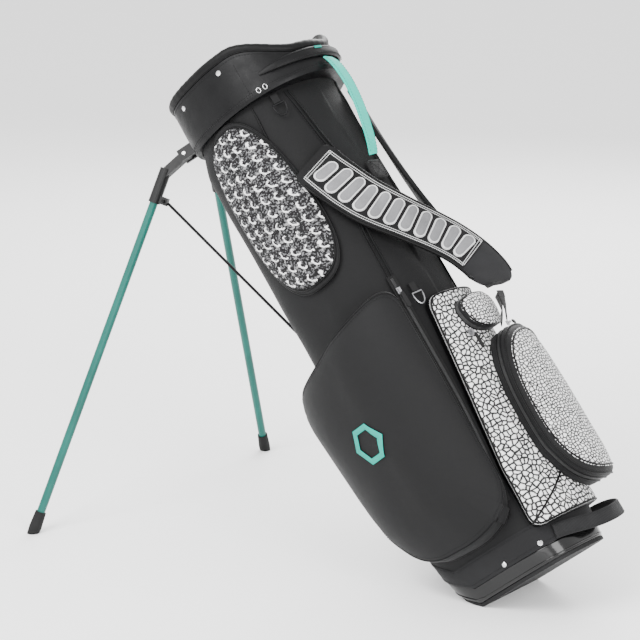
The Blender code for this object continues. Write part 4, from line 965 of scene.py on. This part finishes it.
LEFT_POCKET = Pad(rad(-92), 0.268,
                  cornered(((0.102, 0.205), (0.102, -0.160), (0.060, -0.196), (-0.058, -0.190),
                            (-0.104, -0.095), (-0.118, 0.130)), 0.040), swell=pocket_swell)
RIGHT_POCKET = Pad(rad(124), 0.300,
                   cornered(((0.060, 0.190), (0.060, -0.180), (-0.058, -0.180), (-0.058, 0.190)),
                            0.03), out=SEAT + 0.0004)
HIP_PAD = Pad(rad(-88), 0.662, rounded(0.0655, 0.1455, 2.6, 0.10, -0.06))
PANEL = Pad(rad(31), 0.240, cornered(((0.118, 0.186), (0.118, -0.186), (-0.140, -0.186),
                                      (-0.100, 0.186)), 0.020))


def ball_swell(s, t):
    """The ball pocket's face turns a little towards the side pocket."""
    share = np.clip((s + 0.070) / 0.110, 0.0, 1.0)
    return 0.66 + 0.34 * share * share * (3 - 2 * share)


BALL_POCKET = Pad(rad(30), 0.207, rounded(0.068, 0.130, 2.5, 0.14, -0.05),
                  out=2 * SEAT + PANEL_THICK, swell=ball_swell)
VALUABLES = Pad(rad(17), 0.3765, rounded(0.0435, 0.0290, 2.6, -0.15), out=2 * SEAT + PANEL_THICK)


def make_side_pockets(context):
    sizes = context.scene.stand_bag_sizes
    finishes = [look("pocket_cloth", context), look("piping", context)]
    left_rows = [(1.0, 0.003, 0), (1.0, 0.008, 0), (0.996, 0.014, 0), (0.990, 0.020, 0),
                 (0.984, 0.025, 0), (0.978, 0.0285, 0), (0.968, 0.0315, 0), (0.957, 0.0340, 0),
                 (0.94, 0.0362, 0), (0.91, 0.0385, 0), (0.87, 0.0408, 0), (0.82, 0.0428, 0),
                 (0.75, 0.0447, 0), (0.66, 0.0460, 0), (0.55, 0.0470, 0), (0.42, 0.0476, 0),
                 (0.28, 0.0478, 0), (0.14, 0.0480, 0), (0.03, 0.0480, 0)]
    shape = LEFT_POCKET.shape(left_rows, 0, uneven=0.0019, seed=3)
    piece = shape.make("apparel_left", finishes, slot="body_fabric", sharp=75)
    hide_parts("apparel_pocket_left")
    right_rows = [(1.0, 0.003, 0), (1.0, 0.008, 0), (0.99, 0.013, 0), (0.975, 0.018, 0),
                  (0.95, 0.0225, 0), (0.91, 0.0265, 0), (0.86, 0.0298, 0), (0.78, 0.0325, 0),
                  (0.65, 0.0348, 0), (0.5, 0.0360, 0), (0.3, 0.0367, 0), (0.1, 0.0370, 0)]
    shape = RIGHT_POCKET.shape(right_rows, 0, uneven=0.0012, seed=9, under=14)
    piece = shape.make("apparel_right", finishes, slot="body_fabric", sharp=75)
    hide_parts("apparel_pocket_right")
    trim = piping_on(LEFT_POCKET, 0.962, 0.0333, sizes.piping * 0.75)
    piping_on(LEFT_POCKET, 1.002, 0.0035, sizes.piping * 0.8, trim)
    piping_on(RIGHT_POCKET, 0.93, 0.0248, sizes.piping * 0.75, trim)
    piping_on(RIGHT_POCKET, 1.002, 0.0035, sizes.piping * 0.8, trim)
    trim.make("apparel_piping", [look("piping", context)], slot="body_fabric")
    seams = Shape()
    seams.hem(LEFT_POCKET.ring(0.935, 0.0370), sizes)
    seams.hem(RIGHT_POCKET.ring(0.90, 0.0275), sizes)
    seams.make("apparel_stitching", [look("black_thread", context)], slot="body_fabric")
    marker(context, "apparel_marker", 0.026,
           lambda s, t, h: LEFT_POCKET.at(s - 0.012, t + 0.010, 0.0474 + h + 0.0016))


def make_lower_panel(context):
    sizes = context.scene.stand_bag_sizes
    rows = [(1.0, 0.003, -2), (1.0, 0.007, -2), (0.995, 0.0105, -2), (0.988, 0.0130, 0),
            (0.975, 0.0144, 0), (0.95, 0.0150, 0)]
    rows += [(float(s), 0.0150, 0) for s in np.linspace(0.9, 0.03, 12)]
    shape = PANEL.shape(rows, 1, under=6)
    piece = shape.make("pebble_panel", [look("pebble_large", context), look("piping", context)],
                       slot="pebble_fabric", sharp=75)
    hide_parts("lower_panel")
    trim = piping_on(PANEL, 0.985, 0.0138, sizes.piping)
    seam = np.stack([np.linspace(-0.138, -0.052, 24), np.linspace(-0.178, -0.128, 24)], -1)
    trim.tube(PANEL.at(seam[:, 0], seam[:, 1], 0.0152), sizes.piping)
    trim.make("panel_piping", [look("piping", context)], slot="body_fabric")


def make_ball_pocket(context):
    sizes = context.scene.stand_bag_sizes
    rows = [(1.0, 0.002, -2), (1.004, 0.008, -2), (1.004, 0.015, -2), (1.000, 0.018, -3),
            (1.000, 0.026, -3), (1.003, 0.029, -2), (1.0, 0.035, -2), (0.985, 0.040, -2),
            (0.955, 0.0440, 1), (0.925, 0.0463, 1), (0.89, 0.0472, 0), (0.85, 0.0484, 0),
            (0.78, 0.0497, 0), (0.68, 0.0510, 0), (0.55, 0.0520, 0), (0.4, 0.0527, 0),
            (0.22, 0.0530, 0), (0.03, 0.0530, 0)]
    shape = BALL_POCKET.shape(rows, 1, uneven=0.0004, seed=6)
    finishes = [look("pebble_small", context), look("pocket_cloth", context),
                look("zip_coil", context)]
    piece = shape.make("ball_pouch", finishes, slot="pebble_fabric", sharp=75)
    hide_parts("ball_pocket")
    trim = piping_on(BALL_POCKET, 0.905, 0.0472, sizes.piping * 0.9)
    piping_on(BALL_POCKET, 1.006, 0.0165, sizes.piping * 0.6, trim)
    piping_on(BALL_POCKET, 1.006, 0.0275, sizes.piping * 0.6, trim)
    piping_on(BALL_POCKET, 0.992, 0.0395, sizes.piping * 0.9, trim)
    trim.make("ball_piping", [look("piping", context)], slot="body_fabric")


def make_valuables(context):
    sizes = context.scene.stand_bag_sizes
    rows = [(1.0, 0.002, -2), (1.0, 0.004, -3), (1.0, 0.008, -3), (0.995, 0.0105, -2),
            (0.975, 0.0135, 1), (0.93, 0.0158, 0), (0.87, 0.0178, 0), (0.78, 0.0195, 0),
            (0.65, 0.0208, 0), (0.5, 0.0217, 0), (0.3, 0.0223, 0), (0.05, 0.0225, 0)]
    finishes = [look("pebble_small", context), look("pocket_cloth", context),
                look("zip_coil", context)]
    piece = VALUABLES.shape(rows, 1, uneven=0.0003, seed=2, under=3).make(
        "valuables_pouch", finishes, slot="pebble_fabric", sharp=75)
    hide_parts("valuables_pocket")
    trim = piping_on(VALUABLES, 0.955, 0.0148, sizes.piping * 0.8)
    trim.make("valuables_piping", [look("piping", context)], slot="body_fabric")


def make_hip_pad(context):
    sizes = context.scene.stand_bag_sizes
    rows = [(1.0, 0.002, 1), (1.0, 0.0038, 1), (0.985, 0.0050, 1), (0.96, 0.0052, 1),
            (0.945, 0.0058, 1), (0.938, 0.0080, 0), (0.930, 0.0100, 0)]
    rows += crown(0.915, 0.0120, 0.0195, 16, 0)
    piece = HIP_PAD.shape(rows, 1, uneven=0.0004, seed=7).make(
        "hip_cushion", [look("link_knit", context), look("pocket_cloth", context)],
        slot="link_fabric", sharp=80)
    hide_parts("hip_pad")
    trim = piping_on(HIP_PAD, 0.948, 0.0072, sizes.piping * 1.05)
    piping_on(HIP_PAD, 1.0, 0.0034, sizes.piping * 0.9, trim)
    trim.make("hip_piping", [look("piping", context)], slot="body_fabric")


# ---------------------------------------------------------------- straps and handles
STRAP_WIDTH = 0.078
FRONT_STRAP = Strip(((-45, 0.688, 0.0095), (-37, 0.647, 0.0095), (-24, 0.597, 0.012, -26),
                     (-6, 0.549, 0.021, -14), (9, 0.512, 0.032, -8), (18, 0.483, 0.043, -8),
                     (23, 0.453, 0.053, -10), (24, 0.425, 0.060, -12), (22, 0.400, 0.063, -12)))
REAR_STRAP = Strip(((38, 0.785, 0.013), (41, 0.700, 0.014), (47, 0.610, 0.020),
                    (54, 0.520, 0.034), (58, 0.450, 0.050), (60, 0.420, 0.056)))
TIP_LENGTH = 0.060


def make_front_strap(context):
    sizes = context.scene.stand_bag_sizes
    strap = FRONT_STRAP
    finishes = [look("strap_cloth", context), look("heather_cloth", context)]
    rows = 110
    kinds = [1 if strap.length * k / rows > strap.length - TIP_LENGTH else 0 for k in range(rows - 1)]
    shape = strap.band(STRAP_WIDTH, 0.0088, rows=rows, across=25, ends=(0.80, 0.45),
                       crown_height=0.0006, finish=kinds, end_reach=0.075)
    piece = shape.make("front_strap", finishes, slot="strap_fabric", sharp=60)
    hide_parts("strap_pad_front")

    first, last = 0.012, strap.length - TIP_LENGTH
    face = 0.0050
    seams = Shape()
    for inset in (0.0060, 0.0095):
        for side in (-1, 1):
            along = np.linspace(first, last, 90)
            across = side * (STRAP_WIDTH / 2 - inset) * (1 - 0.10 * np.clip(1 - (along - first) / 0.05, 0, 1))
            seams.stitches(strap.at(along, across, face - 0.0003), 0.0030, 0.95, 0.00075)
        for end in (first + (inset - 0.006), last - (inset - 0.006)):
            across = np.linspace(-1, 1, 20) * (STRAP_WIDTH / 2 - 0.0068)
            across = across * (0.90 if end < 0.03 else 1.0)
            seams.stitches(strap.at(end + 0 * across, across, face + 0.0001), 0.0030, 0.95, 0.00075)
    seams.make("front_strap_border", [look("grey_thread", context)], slot="strap_fabric")

    edge = Shape()
    for side in (-1, 1):
        along = np.linspace(0.020, strap.length - 0.016, 90)
        edge.tube(strap.at(along, side * (STRAP_WIDTH / 2 - 0.0012), 0.0016), 0.0022)
    edge.make("front_strap_piping", [look("piping", context)], slot="strap_fabric")

    pods = Shape()
    turn = np.arange(44) * TURN / 44
    step = (last - first - 0.012) / sizes.pods
    for k in range(sizes.pods):
        middle = first + 0.006 + step * (k + 0.5)
        half_u, half_v = sizes.pod_width / 2, sizes.pod_length / 2
        if k == 0:
            half_v *= 0.80
        straight = half_v - half_u
        c, s = np.cos(turn), np.sin(turn)
        u, v = half_u * c, half_u * s + np.copysign(straight, s)
        rings, cloth, kinds = [], [], []
        for scale, height, kind in ((1.0, -0.0012, 0), (1.0, 0.0010, 0), (0.95, 0.0022, 0),
                                    (0.86, 0.0028, 0), (0.77, 0.0024, 0), (0.70, 0.0018, 1),
                                    (0.62, 0.0021, 1), (0.45, 0.0027, 1), (0.25, 0.0030, 1),
                                    (0.05, 0.0031, 1)):
            du = u * scale
            dv = np.sign(v) * np.maximum(np.abs(v) - half_u * (1 - scale), 0)
            rings.append(strap.at(middle + du - 0.16 * dv, dv, face + height))
            cloth.append(np.stack([np.append(du, du[0]), np.append(dv, dv[0])], -1))
            kinds.append(kind)
        pods.sweep(np.stack(rings), np.stack(cloth), start=rings[0].mean(0),
                   end=rings[-1].mean(0), finish=kinds[1:])
    piece = pods.make("strap_pods", [look("pod_rim", context), look("pod_mesh", context)],
                      slot="strap_fabric", sharp=70)


def make_rear_strap(context):
    sizes = context.scene.stand_bag_sizes
    shape = REAR_STRAP.band(0.060, 0.0092, rows=80, across=19, ends=(0.5, 0.55),
                            crown_height=0.0006)
    piece = shape.make("rear_strap", [look("strap_cloth", context)], slot="strap_fabric", sharp=60)
    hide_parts("strap_pad_rear")
    edge = Shape()
    for side in (-1, 1):
        along = np.linspace(0.030, REAR_STRAP.length - 0.030, 70)
        edge.tube(REAR_STRAP.at(along, side * 0.0285, 0.0020), sizes.piping)
    edge.make("rear_strap_piping", [look("piping", context)], slot="strap_fabric")


def webbing(context, name, node, stations, width, thickness, finish, slot, sideways=None):
    strip = Strip(stations, 12, sideways)
    shape = strip.band(width, thickness, rows=max(int(strip.length / 0.003), 24), across=13)
    piece = shape.make(name, [look(finish, context)], slot=slot, sharp=60)
    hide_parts(node)
    return strip


def edge_stitches(context, name, strip, inset, height, slot, finish="black_thread"):
    sizes = context.scene.stand_bag_sizes
    shape = Shape()
    margin = 0.004
    along = np.linspace(margin, strip.length - margin, 60)
    for side in (-1, 1):
        for face in (height, -height):
            shape.stitches(strip.at(along, side * inset, face), sizes.stitch, radius=sizes.thread * 0.8)
    shape.make(name, [look(finish, context)], slot=slot)


def make_webbings(context):
    webbing(context, "front_strap_webbing", "strap_web_front",
            ((20, 0.388, 0.0635), (20, 0.375, 0.061), (22, 0.363, 0.056), (25, 0.353, 0.048)),
            0.025, 0.0022, "black_webbing", "webbing_black")
    webbing(context, "rear_strap_webbing", "strap_web_rear",
            ((60.5, 0.405, 0.056), (60, 0.388, 0.054), (58, 0.374, 0.046), (56, 0.362, 0.036)),
            0.025, 0.0022, "black_webbing", "webbing_black")


def make_handles(context):
    sizes = context.scene.stand_bag_sizes
    lift = webbing(context, "lift_strap", "lift_handle",
                   ((6, 0.826, 0.0330), (5, 0.808, 0.0410), (5, 0.775, 0.0430), (6, 0.735, 0.037),
                    (7, 0.690, 0.024), (8, 0.664, 0.012)),
                   0.024, 0.0042, "teal_webbing", "webbing_teal")
    edge_stitches(context, "lift_strap_stitching", lift, 0.0098, 0.0022, "webbing_teal",
                  "teal_patch")
    base = webbing(context, "base_grip", "base_handle",
                   ((-26, 0.040, 0.0045), (-17, 0.037, 0.007), (-5, 0.032, 0.014),
                    (8, 0.027, 0.025), (19, 0.026, 0.036), (31, 0.030, 0.042), (42, 0.037, 0.037),
                    (51, 0.041, 0.026), (59, 0.041, 0.015), (66, 0.040, 0.0055)),
                   0.022, 0.0038, "handle_webbing", "webbing_black", sideways=(0, 0, 1))
    edge_stitches(context, "base_grip_stitching", base, 0.0088, 0.0020, "webbing_black")
    anchor = Pad(rad(8), 0.642, rounded(0.019, 0.016, 5.0))
    rows = [(1.0, 0.002, 0), (1.0, 0.0038, 0), (0.96, 0.0052, 0), (0.9, 0.0057, 0),
            (0.6, 0.0059, 0), (0.1, 0.0060, 0)]
    piece = anchor.shape(rows, 0, under=2).make("handle_patch", [look("black_webbing", context)],
                                                slot="webbing_black", sharp=70)
    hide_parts("handle_anchor")
    cross = Shape()
    half = 0.0125
    corners = ((-half, -half), (half, -half), (half, half), (-half, half), (-half, -half), (half, half))
    for (a, b), (c, d) in list(zip(corners, corners[1:])) + [((half, -half), (-half, half))]:
        s, t = np.linspace(a, c, 8), np.linspace(b, d, 8)
        cross.stitches(anchor.at(s, t, 0.0061), 0.0034, radius=sizes.thread)
    cross.make("handle_patch_stitching", [look("black_thread", context)], slot="webbing_black")


# ---------------------------------------------------------------- zips
ZIPS = {
    "apparel": (rad(-36), 0.452, 0.0070, 0.0),
    "valuables": (rad(13 - 19), 0.376 - 0.026, PANEL_THICK + 2 * SEAT + 0.004, 0.0),
    "ball": (rad(34), 0.207 + 0.130 + 0.0095, 0.0400, math.pi / 2),
}


def make_zips(context):
    """Tapes and teeth of the apparel zip, and a moulded pull for each slider."""
    line = Strip(((-36.0, 0.478, 0.0042), (-36.0, 0.452, 0.0042), (-36.3, 0.36, 0.0042),
                  (-36.8, 0.27, 0.0042), (-40.0, 0.18, 0.0042), (-44.5, 0.110, 0.0042)), 24)
    tape = line.band(0.0135, 0.0011, rows=120, across=9)
    tape.make("apparel_zip_tape", [look("zip_tape", context)], slot="webbing_black")
    coil = Strip(((-36.0, 0.474, 0.0050), (-36.0, 0.452, 0.0050), (-36.3, 0.36, 0.0050),
                  (-36.8, 0.27, 0.0050), (-40.0, 0.18, 0.0050), (-44.5, 0.114, 0.0050)), 24)
    teeth = coil.band(0.0044, 0.0010, rows=120, across=7)
    teeth.make("apparel_zip_teeth", [look("zip_coil", context)], slot="webbing_black")
    for word, (angle, z, out, turned) in ZIPS.items():
        here, outward, across, up = place_at(angle, z, out)
        along = unit(math.cos(turned) * -up + math.sin(turned) * across)
        across = unit(np.cross(along, outward))
        pivot = here + 0.0072 * outward + 0.0030 * along
        shape = Shape()
        rings = []
        turn = np.arange(16) * TURN / 16
        for share in np.linspace(0, 1, 26):
            reach = 0.0006 + share * 0.0260
            end = min(share, 1 - share) / 0.10
            round_off = math.sqrt(max(1 - (1 - min(end, 1.0)) ** 2, 0.05))
            half = (0.0026 + 0.0010 * min(share * 2.2, 1.0)) * round_off
            thick = 0.0011 * (0.75 + 0.25 * abs(math.sin(share * 30)))
            c, s = np.cos(turn), np.sin(turn)
            sides = half * np.copysign(np.abs(c) ** 0.5, c)
            lifts = thick * np.copysign(np.abs(s) ** 0.6, s)
            rings.append(pivot + reach * along + sides[:, None] * across + lifts[:, None] * outward)
        shape.sweep(rings, start=rings[0].mean(0), end=rings[-1].mean(0))
        piece = shape.make("zip_tab_" + word, [look("rubber", context)], body="pull_" + word,
                           slot="webbing_black")
        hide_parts("zip_pull_" + word)


# ---------------------------------------------------------------- linings
TRAY_PLAY = 0.0017
SHEET_ROOM = 0.005


def make_linings(context):
    """Cloth dividers hung from the moulded bars, with a slight wave."""
    low, high = 0.060, BODY_TOP - 0.004
    reach = BODY_WALL + TRAY_PLAY + TRAY_WALL + SHEET_ROOM
    front, rear = 0.045, -0.022
    edge = 0.0008 + 0.001

    def half_width(x, z=low):
        sizes = [float(np.interp(z, HEIGHTS, SECTIONS[:, k])) for k in range(5)]
        depth, power = (sizes[0], sizes[3]) if x >= 0 else (sizes[1], sizes[4])
        return sizes[2] * (1 - (abs(x) / depth) ** power) ** (1 / power)

    plans = {
        "divider_sheet_front": (front, -half_width(front) + reach, half_width(front) - reach, "y"),
        "divider_sheet_rear": (rear, -half_width(rear) + reach, half_width(rear) - reach, "y"),
        "divider_sheet_middle": (0.0, rear + edge, front - edge, "x"),
        "divider_sheet_leg_side": (0.0, -0.105 + reach, rear - edge, "x"),
    }
    for node, (still, start, stop, axis) in plans.items():
        u, v = np.meshgrid(np.linspace(start, stop, 30), np.linspace(low, high, 70))
        hold = np.sin((v - low) / (high - low) * math.pi) * np.sin((u - start) / (stop - start) * math.pi)
        wave = 0.0006 * hold * np.sin(v * 40 + u * 30)

        def side(offset, u=u, v=v, wave=wave, still=still, axis=axis):
            flat = still + wave + offset
            return np.stack([flat, u, v] if axis == "y" else [u, flat, v], -1)

        rings = np.concatenate([side(0.0005), side(-0.0005)[:, ::-1]], 1)
        cloth = np.stack([np.concatenate([u, u[:, ::-1], u[:, :1]], 1),
                          np.concatenate([v, v, v[:, :1]], 1)], -1)
        shape = Shape().sweep(rings, cloth, start=rings[0].mean(0), end=rings[-1].mean(0))
        piece = shape.make(node.replace("sheet", "cloth"), [look("lining_mesh", context)],
                           slot="lining")
        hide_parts(node)


# ---------------------------------------------------------------- hard parts
HARD_FINISHES = {
    "rubber": ("base_sole", "foot_cap_left", "foot_cap_right"),
    "grained_plastic": ("top_frame", "leg_bracket", "knuckle_left", "knuckle_right",
                        "actuator_slider", "rod_guide_lower", "rod_guide_upper", "foot_lever",
                        "stay_left", "stay_right", "stay_spine"),
    "leg_paint": ("leg_tube_left", "leg_tube_right"),
    "painted_wire": ("push_rod_left", "push_rod_right", "actuator_rod", "towel_ring"),
    "steel": ("rivet_base_1", "rivet_base_2", "rivet_base_3", "rivet_base_4", "rivet_collar_1",
              "rivet_collar_2", "rivet_collar_3", "hinge_pin_left", "hinge_pin_right"),
    "dark_steel": ("d_ring", "zip_slider_apparel", "zip_slider_valuables", "zip_slider_ball"),
    "black_webbing": ("d_ring_tab", "towel_ring_tab"),
}


def finish_hard_parts(context):
    for finish, nodes in HARD_FINISHES.items():
        for node in nodes:
            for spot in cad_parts[node].material_slots:
                spot.material = look(finish, context)


# ---------------------------------------------------------------- stage
EYE_AZIMUTH, EYE_ELEVATION, EYE_DISTANCE = rad(39.9), rad(14.2), 3.09
EYE_TARGET = Vector((-0.34913, 0.0, 0.35844))
EYE_SENSOR, EYE_LENS = 36.0, 111.375
FLOOR_RADIUS, FLOOR_DROP = 18.0, 0.0006
ROOM_LIGHT = 1.9
LIT_PLACE = Vector((-0.28, 0.0, 0.35))
# name, place, power and size of each lamp
LAMPS = (
    ("key", (-0.4, -2.6, 2.6), 150, (1.8, 1.4)),
    ("side", (2.6, -1.2, 1.6), 80, (1.2, 2.0)),
    ("back", (-1.6, 2.6, 2.2), 110, (2.2, 1.2)),
    ("low", (1.2, -2.4, 0.5), 14, (1.6, 0.8)),
)


def soft_light(name, place, power, size):
    lamp = bpy.data.lights.new(name, "AREA")
    lamp.shape = "RECTANGLE"
    lamp.size, lamp.size_y = size
    lamp.energy = power
    item = bpy.data.objects.new(name, lamp)
    bpy.context.scene.collection.objects.link(item)
    item.location = place
    item.rotation_mode = "QUATERNION"
    item.rotation_quaternion = (LIT_PLACE - Vector(place)).to_track_quat("-Z", "Y")


def make_stage(context):
    shape = bmesh.new()
    bmesh.ops.create_circle(shape, cap_ends=True, radius=FLOOR_RADIUS, segments=96)
    mesh = bpy.data.meshes.new("floor")
    shape.to_mesh(mesh)
    shape.free()
    paper = Finish("floor_paper", specular=0.2)
    tint = paper.mix(paper.spread(paper.noise(3.0), 0.3, 0.7), (0.955,) * 3, (0.965,) * 3)
    mesh.materials.append(paper.done(tint, 0.8))
    floor = bpy.data.objects.new("floor", mesh)
    context.scene.collection.objects.link(floor)
    floor.location = (0, 0, -FLOOR_DROP)

    back = Vector((math.sin(EYE_AZIMUTH) * math.cos(EYE_ELEVATION),
                   -math.cos(EYE_AZIMUTH) * math.cos(EYE_ELEVATION), math.sin(EYE_ELEVATION)))
    eye = bpy.data.cameras.new("eye")
    eye.sensor_width = EYE_SENSOR
    eye.lens = EYE_LENS
    item = bpy.data.objects.new("eye", eye)
    context.scene.collection.objects.link(item)
    item.location = EYE_TARGET + back * EYE_DISTANCE
    item.rotation_mode = "QUATERNION"
    item.rotation_quaternion = (-back).to_track_quat("-Z", "Y")
    context.scene.camera = item

    for lamp in LAMPS:
        soft_light(*lamp)
    world = bpy.data.worlds.new("room")
    world.use_nodes = True
    world.node_tree.nodes["Background"].inputs[0].default_value = (1.0, 1.0, 1.0, 1.0)
    world.node_tree.nodes["Background"].inputs[1].default_value = ROOM_LIGHT
    context.scene.world = world


# ---------------------------------------------------------------- operators and panel
def operator(word, label, note, *makers):
    """An operator class that runs the makers of one piece or group of like pieces."""

    def execute(self, context):
        for maker in makers:
            maker(context)
        return {"FINISHED"}

    fields = {"bl_idname": "stand_bag." + word, "bl_label": label, "__doc__": note,
              "bl_options": {"REGISTER", "UNDO"}, "execute": execute}
    return type("STANDBAG_OT_" + word, (bpy.types.Operator,), fields)


OPERATORS = (
    operator("body", "Body", "Body cloth, skirt, piping and stitching", make_body_cover,
             make_tray, make_skirt, make_body_seams),
    operator("collar", "Collar", "Cuff, padded rim, grab band and trim", make_cuff, make_rim,
             make_grip, make_collar_trim),
    operator("side_pockets", "Side pockets", "Large apparel pockets", make_side_pockets),
    operator("front_pockets", "Front pockets", "Patterned panel and its two pockets",
             make_lower_panel, make_ball_pocket, make_valuables),
    operator("hip_pad", "Hip pad", "Cushion that rests on the hip", make_hip_pad),
    operator("straps", "Straps", "Shoulder straps, their pods and webbing", make_front_strap,
             make_rear_strap, make_webbings),
    operator("handles", "Handles", "Lift handle and base handle", make_handles),
    operator("zips", "Zips", "Zip tape, teeth and pulls", make_zips),
    operator("linings", "Linings", "Divider cloths inside the bag", make_linings),
    operator("hard_parts", "Hard parts", "Finishes of the plastic, metal and rubber parts",
             finish_hard_parts),
    operator("stage", "Stage", "Floor, lights and camera", make_stage),
)


class STANDBAG_PT_panel(bpy.types.Panel):
    """Lists the bag's pieces, sizes and colours."""
    bl_label = "Golf Stand Bag"
    bl_idname = "STANDBAG_PT_panel"
    bl_space_type = "VIEW_3D"
    bl_region_type = "UI"
    bl_category = "Stand Bag"

    def draw(self, context):
        layout = self.layout
        for made in OPERATORS:
            layout.operator(made.bl_idname)
        for group in (context.scene.stand_bag_sizes, context.scene.stand_bag_colours):
            box = layout.box()
            for field in group.bl_rna.properties.keys()[1:]:
                if field != "name":
                    box.prop(group, field)


CLASSES = (StandBagColours, StandBagSizes) + OPERATORS + (STANDBAG_PT_panel,)


def register():
    for made in CLASSES:
        bpy.utils.register_class(made)
    bpy.types.Scene.stand_bag_colours = PointerProperty(type=StandBagColours)
    bpy.types.Scene.stand_bag_sizes = PointerProperty(type=StandBagSizes)


def unregister():
    del bpy.types.Scene.stand_bag_colours
    del bpy.types.Scene.stand_bag_sizes
    for made in reversed(CLASSES):
        bpy.utils.unregister_class(made)


def main():
    register()
    for made in OPERATORS:
        group, word = made.bl_idname.split(".")
        getattr(getattr(bpy.ops, group), word)()


if __name__ == "__main__":
    main()
